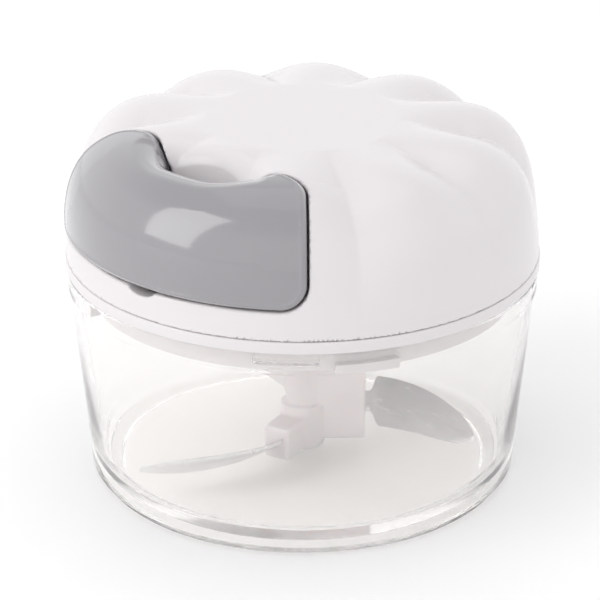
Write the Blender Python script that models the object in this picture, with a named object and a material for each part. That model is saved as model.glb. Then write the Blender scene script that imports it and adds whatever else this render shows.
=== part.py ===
"""Hand-pulled food chopper: a clear bowl, a bladed rotor and a scalloped lid that hides a recoil spool.

Metres, +Z up. The origin is the middle of the bowl's foot, and the pull handle faces -Y.
"""

import math

import bmesh
import bpy
import numpy as np
from mathutils import Matrix, Vector

MM = 0.001

# Fits
GAP = 0.3 * MM  # between pieces that touch
RUNNING_GAP = 0.4 * MM  # between pieces that turn or slide past each other
OVERRUN = 1.0 * MM  # how far a cut runs past the face it opens
MERGE = 1.0 * MM  # how deep a joined detail sinks into its body

# Overall
FLANGE_RADIUS = 46.0 * MM  # the widest ring, between bowl and lid
BOWL_HEIGHT = 43.25 * MM
LID_HEIGHT = 26.1 * MM

# Bowl
BOWL_RIM_STEP = 0.4 * MM  # the rim's radius under the flange's
BOWL_DRAFT = 3.6 * MM  # from the rim's radius to the heel's
BOWL_FOOT_STEP = 1.4 * MM  # from the heel's radius to the foot's
BOWL_COLLAR_HEIGHT = 4.0 * MM
BOWL_COLLAR_STEP = 0.35 * MM
BOWL_HEEL_HEIGHT = 4.6 * MM
BOWL_WALL = 2.0 * MM
BOWL_FLOOR = 3.0 * MM
BOWL_FLOOR_FILLET = 6.0 * MM
FOOT_RING_WIDTH = 3.4 * MM
FOOT_RING_DEPTH = 1.0 * MM
PIVOT_RADIUS = 1.9 * MM
PIVOT_HEIGHT = 7.5 * MM
BOWL_ROUND_OFF = 0.5 * MM
BOWL_HEEL_ROUND = 2.9 * MM  # height where the heel has nearly its full width

# Bayonet lock between bowl and lid
LUG_COUNT = 4
LUG_ANGLE = 16.0
LUG_HEIGHT = 1.2 * MM
LUG_REACH = 1.5 * MM
LUG_DROP = 1.55 * MM  # bowl rim down to the top of its lugs
LOCK_TURN = 20.0
LID_LUG_BEARING = 56.5  # the first lid lug's middle, from the handle towards +X

# Lid
LID_STEP = 0.2 * MM  # the cover's radius under the flange's
LID_SPRING_DROP = 1.9 * MM  # the shoulder curve would start this far below the cover
LID_PLATEAU_RADIUS = 18.6 * MM
LID_SHOULDER_POWER = 3.74
LID_CROWN_POWER = 3.71
LID_WALL = 2.0 * MM
LOBE_COUNT = 10
LOBE_GROOVE_DEPTH = 2.68 * MM
LOBE_FADE_POWER = 1.5
LOBE_SOFTNESS = 0.05
PLATEAU_BLEND = 0.45
FLANGE_THICKNESS = 2.45 * MM
BASE_PLATE = 2.0 * MM
SKIRT_WALL = 1.6 * MM
SKIRT_DEPTH = 5.0 * MM
FLANGE_ROUND_OFF = 0.4 * MM
SEAL_HEIGHT = 1.2 * MM
SEAL_LIP = 0.4 * MM

# Handle and the finger scoop behind it
HANDLE_HALF_LENGTH = 33.2 * MM
HANDLE_RISE = 5.7 * MM  # from the cover's bottom to the handle's
HANDLE_WAIST = 25.3 * MM  # height along the lid's curve at the middle
HANDLE_LOBE = 30.3 * MM  # and at the two shoulders
HANDLE_WAIST_ANGLE = 7.0
HANDLE_LOBE_ANGLE = 34.0
HANDLE_LOW_CORNER = 5.0 * MM
HANDLE_HIGH_CORNER = 8.0 * MM
HANDLE_PROUD = 0.3 * MM
HANDLE_WALL = 2.15 * MM
HANDLE_BACK_WALL = 1.4 * MM
HANDLE_BACK_INSET = 3.0 * MM
HANDLE_CORE_RADIUS = 20.0 * MM  # the handle's depths are measured towards this ring
SEAT_DEPTH = 6.5 * MM
SEAT_WALL = 1.8 * MM
SEAT_MOUTH = 6.0 * MM  # the seat's cut starts this far outside the lid
SCOOP_INSET = 11.3 * MM  # the scoop's middle, in from the lid's radius
SCOOP_RISE = 0.1 * MM  # and above its top
SCOOP_RADII = (16.0 * MM, 10.5 * MM, 13.5 * MM)
NOTCH_RADIUS = 3.0 * MM
NOTCH_FLATNESS = 0.4

# Cord
CORD_RADIUS = 0.8 * MM
CORD_TURNS = 2
CORD_GUIDE_RISE = 8.9 * MM  # above the cover's bottom
EYELET_WALL = 0.7 * MM
EYELET_FLANGE = 1.0 * MM
EYELET_ROUND = 0.2 * MM
CORD_OVERLAP = 2.0 * MM  # how far the straight cord runs in behind the seat's floor
WINDING_BULGE = 0.24 * MM
STOPPER_RADIUS = 2.4 * MM
STOPPER_LENGTH = 2.3 * MM
STOPPER_ROUND_OFF = 0.4 * MM

# Spool and recoil spring
DRUM_RADIUS = 20.4 * MM
DRUM_WALL = 1.5 * MM
GROOVE_DEPTH = 4.1 * MM
SPOOL_FLANGE = 1.4 * MM
GROOVE_HEIGHT = 3.8 * MM
ARBOR_RADIUS = 4.0 * MM
ARBOR_ROOT_RADIUS = 5.8 * MM
ARBOR_FREE_LENGTH = 3.0 * MM  # above the spool, before the arbor widens
ARBOR_TAPER = 2.0 * MM
SPOOL_ROUND_OFF = 0.3 * MM
SPRING_TURNS = 5.0
SPRING_STRIP = 0.5 * MM
SPRING_COVER = 1.0 * MM
SPRING_COVER_INSET = 3.0 * MM

# Ratchet between spool and drive shaft
RATCHET_RADIUS = 15.0 * MM
RATCHET_ROOT_RADIUS = 13.9 * MM
RATCHET_TIP_RADIUS = 12.4 * MM
RATCHET_TEETH = 12
RATCHET_DISC = 1.6 * MM
RATCHET_WALL_HEIGHT = 2.5 * MM
PAWL_COUNT = 2
PAWL_PIVOT_CIRCLE = 8.8 * MM
PAWL_PIN_RADIUS = 1.0 * MM
PAWL_EYE_RADIUS = 2.1 * MM
PAWL_THICKNESS = 1.7 * MM
PAWL_LAG = 31.0  # pivot behind the tooth that the tip pushes
PAWL_TIP_LAG = 4.5
PAWL_HEEL_LAG = 5.0
PAWL_TIP_CLEARANCE = 0.75 * MM
PAWL_TIP_WIDTH = 1.7 * MM
PAWL_EYE_START = 75.0  # the eye's arc, from the direction of the tip
PAWL_EYE_ARC = 210.0
TOOTH_UNDERCUT = 0.4  # degrees that a tooth's face leans
WASHER_RADIUS = 6.0 * MM
WASHER_THICKNESS = 0.6 * MM

# Drive shaft, its seal and the rotor's cup
SHAFT_RADIUS = 6.0 * MM
SHAFT_LENGTH = 8.2 * MM
COLLAR_WALL = 1.6 * MM
COLLAR_DROP = 7.0 * MM
SHAFT_SEAL_WALL = 1.1 * MM
SHAFT_SEAL_HEIGHT = 3.0 * MM
TONGUE_WIDTH = 3.4 * MM
TONGUE_PLAY = 0.6 * MM
TONGUE_LENGTH = 9.4 * MM
CUP_STEP = 1.6 * MM  # the cup's radius over the shaft's
CUP_WALL = 1.4 * MM
CUP_FLOOR = 2.4 * MM
CUP_RIB_WIDTH = 2.4 * MM
CUP_RIB_REACH = 3.0 * MM
CUP_LEAD_IN = 2.0 * MM  # from the cup's mouth down to its ribs
CUP_TAPER = 2.0 * MM

# Rotor and blades
COLUMN_RADIUS = 3.3 * MM
COLUMN_FOOT_RADIUS = 4.4 * MM
COLUMN_FOOT_HEIGHT = 9.5 * MM
COLUMN_STEP = 1.0 * MM
FIN_WIDTH = 5.6 * MM
BLADE_THICKNESS = 0.9 * MM
BLADE_REACH = 33.0 * MM
BLADE_WIDTH = 9.4 * MM
BLADE_TANG_WIDTH = 3.4 * MM
BLADE_TANG_START = 7.0 * MM
BLADE_SHOULDER = 1.6 * MM  # length over which the tang widens
BLADE_GRIND = 0.45  # share of the blade's half width that is ground to an edge
BLADE_EDGE = 0.3  # the edge's thickness as a share of the blade's
BLADE_POINT = 0.08  # the tip's width as a share of the blade's
BLADE_STATIONS = 7
BLADE_SLOT_RUN = 5.0 * MM  # how far a blade's slot runs past its fin
BLADE_SWEEP = 34.0  # per metre, how fast the blade hooks sideways
BLADE_TILT = 35.0
# name, height of the blade, bearing from the handle, fin foot, fin top, fin reach
BLADES = (
    ("blade_upper", 18.5 * MM, 250.5, 15.0 * MM, 22.5 * MM, 10.6 * MM),
    ("blade_middle", 12.6 * MM, 130.5, 5.2 * MM, 22.0 * MM, 12.4 * MM),
    ("blade_lower", 7.4 * MM, 10.5, 4.0 * MM, 10.8 * MM, 10.6 * MM),
)

# Screws
SCREW_INSET = 10.5 * MM  # the screws' circle, in from the flange's radius
SCREW_BEARINGS = (72.0, 144.0, 216.0, 288.0)
SCREW_RADIUS = 0.95 * MM
SCREW_HEAD_RADIUS = 2.3 * MM
SCREW_HEAD_HEIGHT = 1.4 * MM
SCREW_LENGTH = 9.0 * MM
SCREW_BOSS_RADIUS = 2.9 * MM
SCREW_BOSS_HEIGHT = 15.7 * MM
SCREW_RIB_WIDTH = 1.6 * MM
SCREW_RIB_DROP = 3.0 * MM
SCREW_POINT = 1.0 * MM

# Facets
ROUND_STEPS = 60
SMALL_STEPS = 30
PIN_STEPS = 16
SCREW_STEPS = 12
SECTOR_STEPS = 6
FILLET_STEPS = 4
DOME_ROWS = 9
HOLLOW_ROWS = 5
SEAT_COLUMNS = 16
SEAT_ROWS = 6
HANDLE_COLUMNS = 22
HANDLE_ROWS = 7
SPRING_STEPS_PER_TURN = 16

# Radii that follow from the sizes above
BOWL_RIM_RADIUS = FLANGE_RADIUS - BOWL_RIM_STEP
BOWL_HEEL_RADIUS = BOWL_RIM_RADIUS - BOWL_DRAFT
BOWL_FOOT_RADIUS = BOWL_HEEL_RADIUS - BOWL_FOOT_STEP
LID_RADIUS = FLANGE_RADIUS - LID_STEP
SCREW_CIRCLE = FLANGE_RADIUS - SCREW_INSET
SPOOL_FLANGE_RADIUS = DRUM_RADIUS + GROOVE_DEPTH
SHAFT_SEAL_HOLE = SHAFT_RADIUS + RUNNING_GAP + SHAFT_SEAL_WALL + GAP
COLLAR_RADIUS = SHAFT_SEAL_HOLE + COLLAR_WALL
CUP_RADIUS = SHAFT_RADIUS + CUP_STEP
TONGUE_REACH = CUP_RADIUS - CUP_WALL - TONGUE_PLAY

# Heights that follow
COLLAR_BOTTOM = BOWL_HEIGHT - BOWL_COLLAR_HEIGHT
FLANGE_BOTTOM = BOWL_HEIGHT + GAP
FLANGE_TOP = FLANGE_BOTTOM + FLANGE_THICKNESS
PLATE_BOTTOM = FLANGE_TOP - BASE_PLATE
LID_BOTTOM = FLANGE_TOP + GAP
LID_TOP = LID_BOTTOM + LID_HEIGHT
LID_SPRING_HEIGHT = LID_BOTTOM - LID_SPRING_DROP
HANDLE_BOTTOM = LID_BOTTOM + HANDLE_RISE
CORD_GUIDE_HEIGHT = LID_BOTTOM + CORD_GUIDE_RISE
SCREW_BOSS_TOP = LID_BOTTOM + SCREW_BOSS_HEIGHT
SCOOP_CENTRE = (0.0, SCOOP_INSET - LID_RADIUS, LID_TOP + SCOOP_RISE)
BORE_RADIUS = BOWL_RIM_RADIUS - BOWL_WALL
LUG_INNER_RADIUS = BORE_RADIUS - LUG_REACH
SKIRT_RADIUS = LUG_INNER_RADIUS - GAP
SKIRT_BOTTOM = FLANGE_BOTTOM - SKIRT_DEPTH
BOWL_LUG_TOP = BOWL_HEIGHT - LUG_DROP
BOWL_LUG_BOTTOM = BOWL_LUG_TOP - LUG_HEIGHT
LID_LUG_TOP = BOWL_LUG_BOTTOM - GAP
LID_LUG_BOTTOM = SKIRT_BOTTOM
DISC_BOTTOM = FLANGE_TOP + RUNNING_GAP
DISC_TOP = DISC_BOTTOM + RATCHET_DISC
RATCHET_TOP = DISC_TOP + RATCHET_WALL_HEIGHT
PAWL_BOTTOM = DISC_TOP + RUNNING_GAP
PAWL_TOP = PAWL_BOTTOM + PAWL_THICKNESS
SPOOL_BOTTOM = RATCHET_TOP + GAP
GROOVE_BOTTOM = SPOOL_BOTTOM + SPOOL_FLANGE
GROOVE_TOP = GROOVE_BOTTOM + GROOVE_HEIGHT
SPOOL_TOP = GROOVE_TOP + SPOOL_FLANGE
CORD_HEIGHT = (GROOVE_BOTTOM + GROOVE_TOP) / 2
WINDING_RADIUS = DRUM_RADIUS + GAP + CORD_RADIUS
COLLAR_END = PLATE_BOTTOM - COLLAR_DROP
SHAFT_BOTTOM = DISC_BOTTOM - SHAFT_LENGTH
TONGUE_BOTTOM = SHAFT_BOTTOM - TONGUE_LENGTH
CUP_TOP = COLLAR_END - RUNNING_GAP
CUP_INNER_FLOOR = TONGUE_BOTTOM - 2 * RUNNING_GAP
CUP_BOTTOM = CUP_INNER_FLOOR - CUP_FLOOR


def material(name, color, roughness, metallic=0.0, transmission=0.0):
    """A Principled material; one is made for each name."""
    made = bpy.data.materials.get(name)
    if made:
        return made
    made = bpy.data.materials.new(name)
    made.use_nodes = True
    shader = made.node_tree.nodes["Principled BSDF"]
    shader.inputs["Base Color"].default_value = (*color, 1.0)
    shader.inputs["Roughness"].default_value = roughness
    shader.inputs["Metallic"].default_value = metallic
    shader.inputs["Transmission Weight"].default_value = transmission
    return made


def clear_plastic():
    return material("clear_plastic", (0.93, 0.93, 0.92), 0.05, transmission=0.95)


def white_plastic():
    return material("white_plastic", (0.84, 0.82, 0.83), 0.3)


def grey_plastic():
    return material("grey_plastic", (0.35, 0.36, 0.38), 0.2)


def milky_plastic():
    return material("milky_plastic", (0.8, 0.77, 0.78), 0.35, transmission=0.3)


def inner_plastic():
    return material("inner_plastic", (0.75, 0.75, 0.74), 0.45)


def steel():
    return material("steel", (0.62, 0.62, 0.63), 0.25, metallic=1.0)


def silicone():
    return material("silicone", (0.8, 0.8, 0.8), 0.6)


def cord_fibre():
    return material("cord_fibre", (0.85, 0.85, 0.84), 0.85)


def new_object(name, mesh, coating, curved=False):
    """A closed bmesh as an object: faces out, smooth where it is round. A curved grid is triangulated."""
    bmesh.ops.recalc_face_normals(mesh, faces=mesh.faces)
    if curved:
        bmesh.ops.triangulate(mesh, faces=mesh.faces)
    data = bpy.data.meshes.new(name)
    mesh.to_mesh(data)
    mesh.free()
    data.materials.append(coating)
    data.shade_smooth()
    data.set_sharp_from_angle(angle=math.radians(35))
    made = bpy.data.objects.new(name, data)
    bpy.context.scene.collection.objects.link(made)
    return made


def shape_with(target, tool, operation):
    """Apply one Boolean to target and throw the tool away."""
    modifier = target.modifiers.new(operation.lower(), "BOOLEAN")
    modifier.operation = operation
    modifier.object = tool
    bpy.context.view_layer.update()
    evaluated = target.evaluated_get(bpy.context.evaluated_depsgraph_get())
    shaped = bpy.data.meshes.new_from_object(evaluated)
    target.modifiers.remove(modifier)
    target.data = shaped
    shaped.name = target.name
    shaped.shade_smooth()
    shaped.set_sharp_from_angle(angle=math.radians(35))
    bpy.data.objects.remove(tool)


def add(target, tool):
    shape_with(target, tool, "UNION")


def cut(target, tool):
    shape_with(target, tool, "DIFFERENCE")


def turned(name, outline, coating, steps=ROUND_STEPS):
    """Turn an outline of (radius, height) points about Z. It closes on itself or on the axis."""
    mesh = bmesh.new()
    points = [mesh.verts.new((radius, 0.0, height)) for radius, height in outline]
    edges = [mesh.edges.new(pair) for pair in zip(points, points[1:])]
    on_axis = outline[0][0] == 0.0 and outline[-1][0] == 0.0
    if not on_axis:
        edges.append(mesh.edges.new((points[-1], points[0])))
    geometry = points + edges
    bmesh.ops.spin(
        mesh, geom=geometry, axis=(0, 0, 1), cent=(0, 0, 0), angle=math.tau, steps=steps, use_merge=True
    )
    bmesh.ops.remove_doubles(mesh, verts=mesh.verts, dist=1e-7)
    return new_object(name, mesh, coating)


def prism(name, outline, bottom, top, coating):
    """Extrude a closed outline of (x, y) points from bottom to top."""
    mesh = bmesh.new()
    face = mesh.faces.new([mesh.verts.new((x, y, bottom)) for x, y in outline])
    raised = bmesh.ops.extrude_face_region(mesh, geom=[face])["geom"]
    lifted = [item for item in raised if isinstance(item, bmesh.types.BMVert)]
    bmesh.ops.translate(mesh, verts=lifted, vec=(0, 0, top - bottom))
    return new_object(name, mesh, coating)


def disc_outline(radius, steps, centre=(0.0, 0.0)):
    angles = [math.tau * step / steps for step in range(steps)]
    return [(centre[0] + radius * math.cos(a), centre[1] + radius * math.sin(a)) for a in angles]


def block(name, x, y, z, coating):
    """A box between the pairs x, y and z."""
    outline = [(x[0], y[0]), (x[1], y[0]), (x[1], y[1]), (x[0], y[1])]
    return prism(name, outline, z[0], z[1], coating)


def turn_about_z(target, degrees):
    target.data.transform(Matrix.Rotation(math.radians(degrees), 4, "Z"))


def sector(name, radii, heights, bearing, width, coating):
    """A ring sector whose middle is at a bearing, counted from -Y towards +X."""
    inner, outer = radii
    middle = bearing - 90.0
    shares = [step / SECTOR_STEPS - 0.5 for step in range(SECTOR_STEPS + 1)]
    angles = [math.radians(middle + width * share) for share in shares]
    near = [(inner * math.cos(a), inner * math.sin(a)) for a in angles]
    far = [(outer * math.cos(a), outer * math.sin(a)) for a in reversed(angles)]
    return prism(name, near + far, heights[0], heights[1], coating)


def at_bearing(radius, bearing):
    """The point at a radius and a bearing, counted from -Y towards +X."""
    angle = math.radians(bearing - 90.0)
    return radius * math.cos(angle), radius * math.sin(angle)


def arc_points(centre, radius, start, end, steps):
    """Points of an arc in an outline of (radius, height), angles in degrees."""
    angles = [math.radians(start + (end - start) * step / steps) for step in range(steps + 1)]
    return [(centre[0] + radius * math.cos(a), centre[1] + radius * math.sin(a)) for a in angles]


# The lid's surface


def lid_profile(sweep):
    """Radius and height of the lobes' crest; sweep runs from 0 at the side to a quarter turn on top."""
    radius = LID_PLATEAU_RADIUS + (LID_RADIUS - LID_PLATEAU_RADIUS) * max(math.cos(sweep), 0.0) ** (
        2 / LID_SHOULDER_POWER
    )
    height = LID_SPRING_HEIGHT + (LID_TOP - LID_SPRING_HEIGHT) * math.sin(sweep) ** (2 / LID_CROWN_POWER)
    return radius, height


def lid_normal(sweep):
    """Unit normal of the crest profile, as (radial, upward)."""
    step = 1e-3
    low = lid_profile(max(sweep - step, 1e-4))
    high = lid_profile(min(sweep + step, math.pi / 2 - 1e-4))
    along = Vector((high[0] - low[0], high[1] - low[1])).normalized()
    return along.y, -along.x


def sweep_at_height(height):
    share = (height - LID_SPRING_HEIGHT) / (LID_TOP - LID_SPRING_HEIGHT)
    return math.asin(share ** (LID_CROWN_POWER / 2))


def groove_depth(radius, height, bearing):
    """Depth of the valleys between the lobes, which fade out down the side and at the plateau."""
    rise = min(max((height - LID_BOTTOM) / (LID_TOP - LID_BOTTOM), 0.0), 1.0)
    reach = (radius - LID_PLATEAU_RADIUS) / (LID_RADIUS - LID_PLATEAU_RADIUS)
    fade = math.sin(math.pi / 2 * rise) ** LOBE_FADE_POWER * min(max(reach / PLATEAU_BLEND, 0.0), 1.0)
    wave = math.cos(math.radians(bearing) * LOBE_COUNT / 2)
    return fade * LOBE_GROOVE_DEPTH * (1 - math.sqrt(wave * wave + LOBE_SOFTNESS**2))


def lid_point(bearing, sweep, inset):
    """A point of the lid's lobed surface, moved inward by inset."""
    radius, height = lid_profile(sweep)
    out, up = lid_normal(sweep)
    depth = inset + groove_depth(radius, height, bearing)
    x, y = at_bearing(radius - depth * out, bearing)
    return Vector((x, y, height - depth * up))


def dome(name, inset, bottom, rows, coating):
    """The lid's outer form, or its hollow, as a closed solid with a flat bottom."""
    mesh = bmesh.new()
    start = sweep_at_height(LID_BOTTOM)
    sweeps = [start + (math.pi / 2 - start) * row / rows for row in range(rows + 1)]
    rings = []
    for row, sweep in enumerate(sweeps):
        ring = []
        for step in range(ROUND_STEPS):
            point = lid_point(360.0 * step / ROUND_STEPS, sweep, inset)
            if row == 0:
                point.z = bottom
            ring.append(mesh.verts.new(point))
        rings.append(ring)
    for low, high in zip(rings, rings[1:]):
        for step in range(ROUND_STEPS):
            following = (step + 1) % ROUND_STEPS
            mesh.faces.new((low[step], low[following], high[following], high[step]))
    mesh.faces.new(rings[0])
    mesh.faces.new(rings[-1])
    return new_object(name, mesh, coating, curved=True)


# The handle's outline on that surface


def crest_lengths():
    """Sweeps and their lengths along the crest, from the handle's bottom edge upward."""
    sweeps = np.linspace(sweep_at_height(LID_BOTTOM), math.pi / 2 - 0.02, 400)
    points = np.array([lid_profile(sweep) for sweep in sweeps])
    lengths = np.concatenate([[0.0], np.cumsum(np.linalg.norm(np.diff(points, axis=0), axis=1))])
    start = np.interp(sweep_at_height(HANDLE_BOTTOM), sweeps, lengths)
    return sweeps, lengths - start


def handle_span(across, margin):
    """Lowest and highest length along the crest, at a distance across from the handle's middle."""
    half = HANDLE_HALF_LENGTH + margin
    bearing = math.degrees(abs(across) / LID_RADIUS)
    share = (bearing - HANDLE_WAIST_ANGLE) / (HANDLE_LOBE_ANGLE - HANDLE_WAIST_ANGLE)
    share = min(max(share, 0.0), 1.0)
    top = HANDLE_WAIST + (HANDLE_LOBE - HANDLE_WAIST) * share * share * (3 - 2 * share)
    low_corner = HANDLE_LOW_CORNER + margin
    high_corner = HANDLE_HIGH_CORNER + margin
    low_past = max(abs(across) - (half - low_corner), 0.0)
    high_past = max(abs(across) - (half - high_corner), 0.0)
    low = -margin + low_corner - math.sqrt(max(low_corner**2 - low_past**2, 0.0))
    high = top + margin - high_corner + math.sqrt(max(high_corner**2 - high_past**2, 0.0))
    return low, high


def handle_point(bearing, sweep, depth):
    """A point of the lid's crest, moved inward by depth towards the ring inside the handle."""
    radius, height = lid_profile(sweep)
    inward = Vector((HANDLE_CORE_RADIUS - radius, HANDLE_BOTTOM - height)).normalized()
    x, y = at_bearing(radius + depth * inward.x, bearing)
    return Vector((x, y, height + depth * inward.y))


def handle_patch(name, outer_inset, inner_inset, margin, coating, columns=SEAT_COLUMNS, rows=SEAT_ROWS):
    """A curved plate over the handle's outline, between two depths below the lid's crest."""
    sweeps, lengths = crest_lengths()
    half = HANDLE_HALF_LENGTH + margin
    mesh = bmesh.new()
    layers = []
    for inset in (outer_inset, inner_inset):
        grid = []
        for column in range(columns + 1):
            across = half * math.sin(math.pi / 2 * (2 * column / columns - 1))
            low, high = handle_span(across, margin)
            line = []
            for row in range(rows + 1):
                sweep = np.interp(low + (high - low) * row / rows, lengths, sweeps)
                bearing = math.degrees(across / LID_RADIUS)
                line.append(mesh.verts.new(handle_point(bearing, sweep, inset)))
            grid.append(line)
        layers.append(grid)
    outer, inner = layers
    for grid in layers:
        for left, right in zip(grid, grid[1:]):
            for row in range(rows):
                mesh.faces.new((left[row], right[row], right[row + 1], left[row + 1]))
    rim = [(column, 0) for column in range(columns)]
    rim += [(columns, row) for row in range(rows)]
    rim += [(column, rows) for column in range(columns, 0, -1)]
    rim += [(0, row) for row in range(rows, 0, -1)]
    for (a, b), (c, d) in zip(rim, rim[1:] + rim[:1]):
        mesh.faces.new((outer[a][b], outer[c][d], inner[c][d], inner[a][b]))
    return new_object(name, mesh, coating, curved=True)


def scoop(name, grow, coating):
    """The egg-shaped hollow that lets fingers reach behind the handle."""
    mesh = bmesh.new()
    bmesh.ops.create_uvsphere(mesh, u_segments=20, v_segments=12, radius=1.0)
    radii = [radius + grow for radius in SCOOP_RADII]
    bmesh.ops.scale(mesh, verts=mesh.verts, vec=radii)
    bmesh.ops.translate(mesh, verts=mesh.verts, vec=SCOOP_CENTRE)
    return new_object(name, mesh, coating)


def lying_rod(name, outline, at, coating, steps=PIN_STEPS):
    """A turned piece laid along Y: its outline's heights run from 0 towards -Y, from the point at."""
    made = turned(name, outline, coating, steps)
    made.data.transform(Matrix.Rotation(math.radians(90), 4, "X"))
    made.data.transform(Matrix.Translation(at))
    return made


# Pieces


def make_bowl():
    inner_top = BORE_RADIUS
    inner_foot = BOWL_HEEL_RADIUS - BOWL_WALL
    fillet = (inner_foot - BOWL_FLOOR_FILLET, BOWL_FLOOR + BOWL_FLOOR_FILLET)
    taper_top = BOWL_RIM_RADIUS - BOWL_COLLAR_STEP
    ring_inner = BOWL_FOOT_RADIUS - FOOT_RING_WIDTH
    heel = (BOWL_HEEL_RADIUS + BOWL_FOOT_RADIUS) / 2
    outline = [
        (0.0, FOOT_RING_DEPTH),
        (ring_inner - FOOT_RING_DEPTH, FOOT_RING_DEPTH),
        (ring_inner, 0.0),
        (BOWL_FOOT_RADIUS - BOWL_ROUND_OFF, 0.0),
        (BOWL_FOOT_RADIUS, BOWL_ROUND_OFF),
        (BOWL_FOOT_RADIUS, 3 * BOWL_ROUND_OFF),
        (heel, 3.4 * BOWL_ROUND_OFF),
        (BOWL_HEEL_RADIUS - 0.4 * BOWL_ROUND_OFF, BOWL_HEEL_ROUND),
        (BOWL_HEEL_RADIUS, BOWL_HEEL_HEIGHT),
        (taper_top, COLLAR_BOTTOM),
        (BOWL_RIM_RADIUS, COLLAR_BOTTOM + BOWL_COLLAR_STEP),
        (BOWL_RIM_RADIUS, BOWL_HEIGHT - BOWL_ROUND_OFF),
        (BOWL_RIM_RADIUS - BOWL_ROUND_OFF, BOWL_HEIGHT),
        (inner_top, BOWL_HEIGHT),
        (inner_top, COLLAR_BOTTOM),
    ]
    outline += arc_points(fillet, BOWL_FLOOR_FILLET, 0.0, -90.0, FILLET_STEPS)
    outline += [
        (PIVOT_RADIUS, BOWL_FLOOR),
        (PIVOT_RADIUS, BOWL_FLOOR + PIVOT_HEIGHT - BOWL_ROUND_OFF),
        (PIVOT_RADIUS - BOWL_ROUND_OFF, BOWL_FLOOR + PIVOT_HEIGHT),
        (0.0, BOWL_FLOOR + PIVOT_HEIGHT),
    ]
    bowl = turned("bowl", outline, clear_plastic())
    radii = (LUG_INNER_RADIUS, BORE_RADIUS + BOWL_WALL / 2)
    for lug in range(LUG_COUNT):
        bearing = LID_LUG_BEARING - LOCK_TURN + 360.0 * lug / LUG_COUNT
        add(bowl, sector("lug", radii, (BOWL_LUG_BOTTOM, BOWL_LUG_TOP), bearing, LUG_ANGLE, clear_plastic()))


def make_lid_seal():
    inner = SKIRT_RADIUS + GAP
    outer = BORE_RADIUS - GAP
    bottom = FLANGE_BOTTOM - GAP - SEAL_HEIGHT
    top = bottom + SEAL_HEIGHT
    outline = [
        (inner, bottom),
        (outer - SEAL_LIP, bottom),
        (outer, bottom + SEAL_LIP),
        (outer, top - SEAL_LIP),
        (inner, top),
    ]
    turned("lid_seal", outline, silicone())


def make_lid_base():
    shaft_hole = SHAFT_RADIUS + RUNNING_GAP
    skirt_inner = SKIRT_RADIUS - SKIRT_WALL
    edge = FLANGE_ROUND_OFF
    outline = [
        (shaft_hole, FLANGE_TOP),
        (shaft_hole, PLATE_BOTTOM),
        (SHAFT_SEAL_HOLE, PLATE_BOTTOM),
        (SHAFT_SEAL_HOLE, COLLAR_END),
        (COLLAR_RADIUS, COLLAR_END),
        (COLLAR_RADIUS, PLATE_BOTTOM),
        (skirt_inner, PLATE_BOTTOM),
        (skirt_inner, SKIRT_BOTTOM),
        (SKIRT_RADIUS, SKIRT_BOTTOM),
        (SKIRT_RADIUS, FLANGE_BOTTOM),
        (FLANGE_RADIUS - edge, FLANGE_BOTTOM),
        (FLANGE_RADIUS, FLANGE_BOTTOM + edge),
        (FLANGE_RADIUS, FLANGE_TOP - edge),
        (FLANGE_RADIUS - edge, FLANGE_TOP),
    ]
    base = turned("lid_base", outline, white_plastic())
    radii = (SKIRT_RADIUS - SKIRT_WALL / 2, BORE_RADIUS - RUNNING_GAP)
    for lug in range(LUG_COUNT):
        bearing = LID_LUG_BEARING + 360.0 * lug / LUG_COUNT
        add(base, sector("lug", radii, (LID_LUG_BOTTOM, LID_LUG_TOP), bearing, LUG_ANGLE, white_plastic()))
    for bearing in SCREW_BEARINGS:
        hole = disc_outline(SCREW_RADIUS + GAP, SCREW_STEPS, at_bearing(SCREW_CIRCLE, bearing))
        cut(base, prism("hole", hole, PLATE_BOTTOM - OVERRUN, FLANGE_TOP + OVERRUN, white_plastic()))


def make_shaft_seal():
    inner = SHAFT_RADIUS + RUNNING_GAP
    outer = inner + SHAFT_SEAL_WALL
    top = PLATE_BOTTOM - GAP
    outline = [
        (inner, top),
        (inner, top - SHAFT_SEAL_HEIGHT),
        (outer, top - SHAFT_SEAL_HEIGHT),
        (outer, top),
    ]
    turned("shaft_seal", outline, silicone(), SMALL_STEPS)


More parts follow.
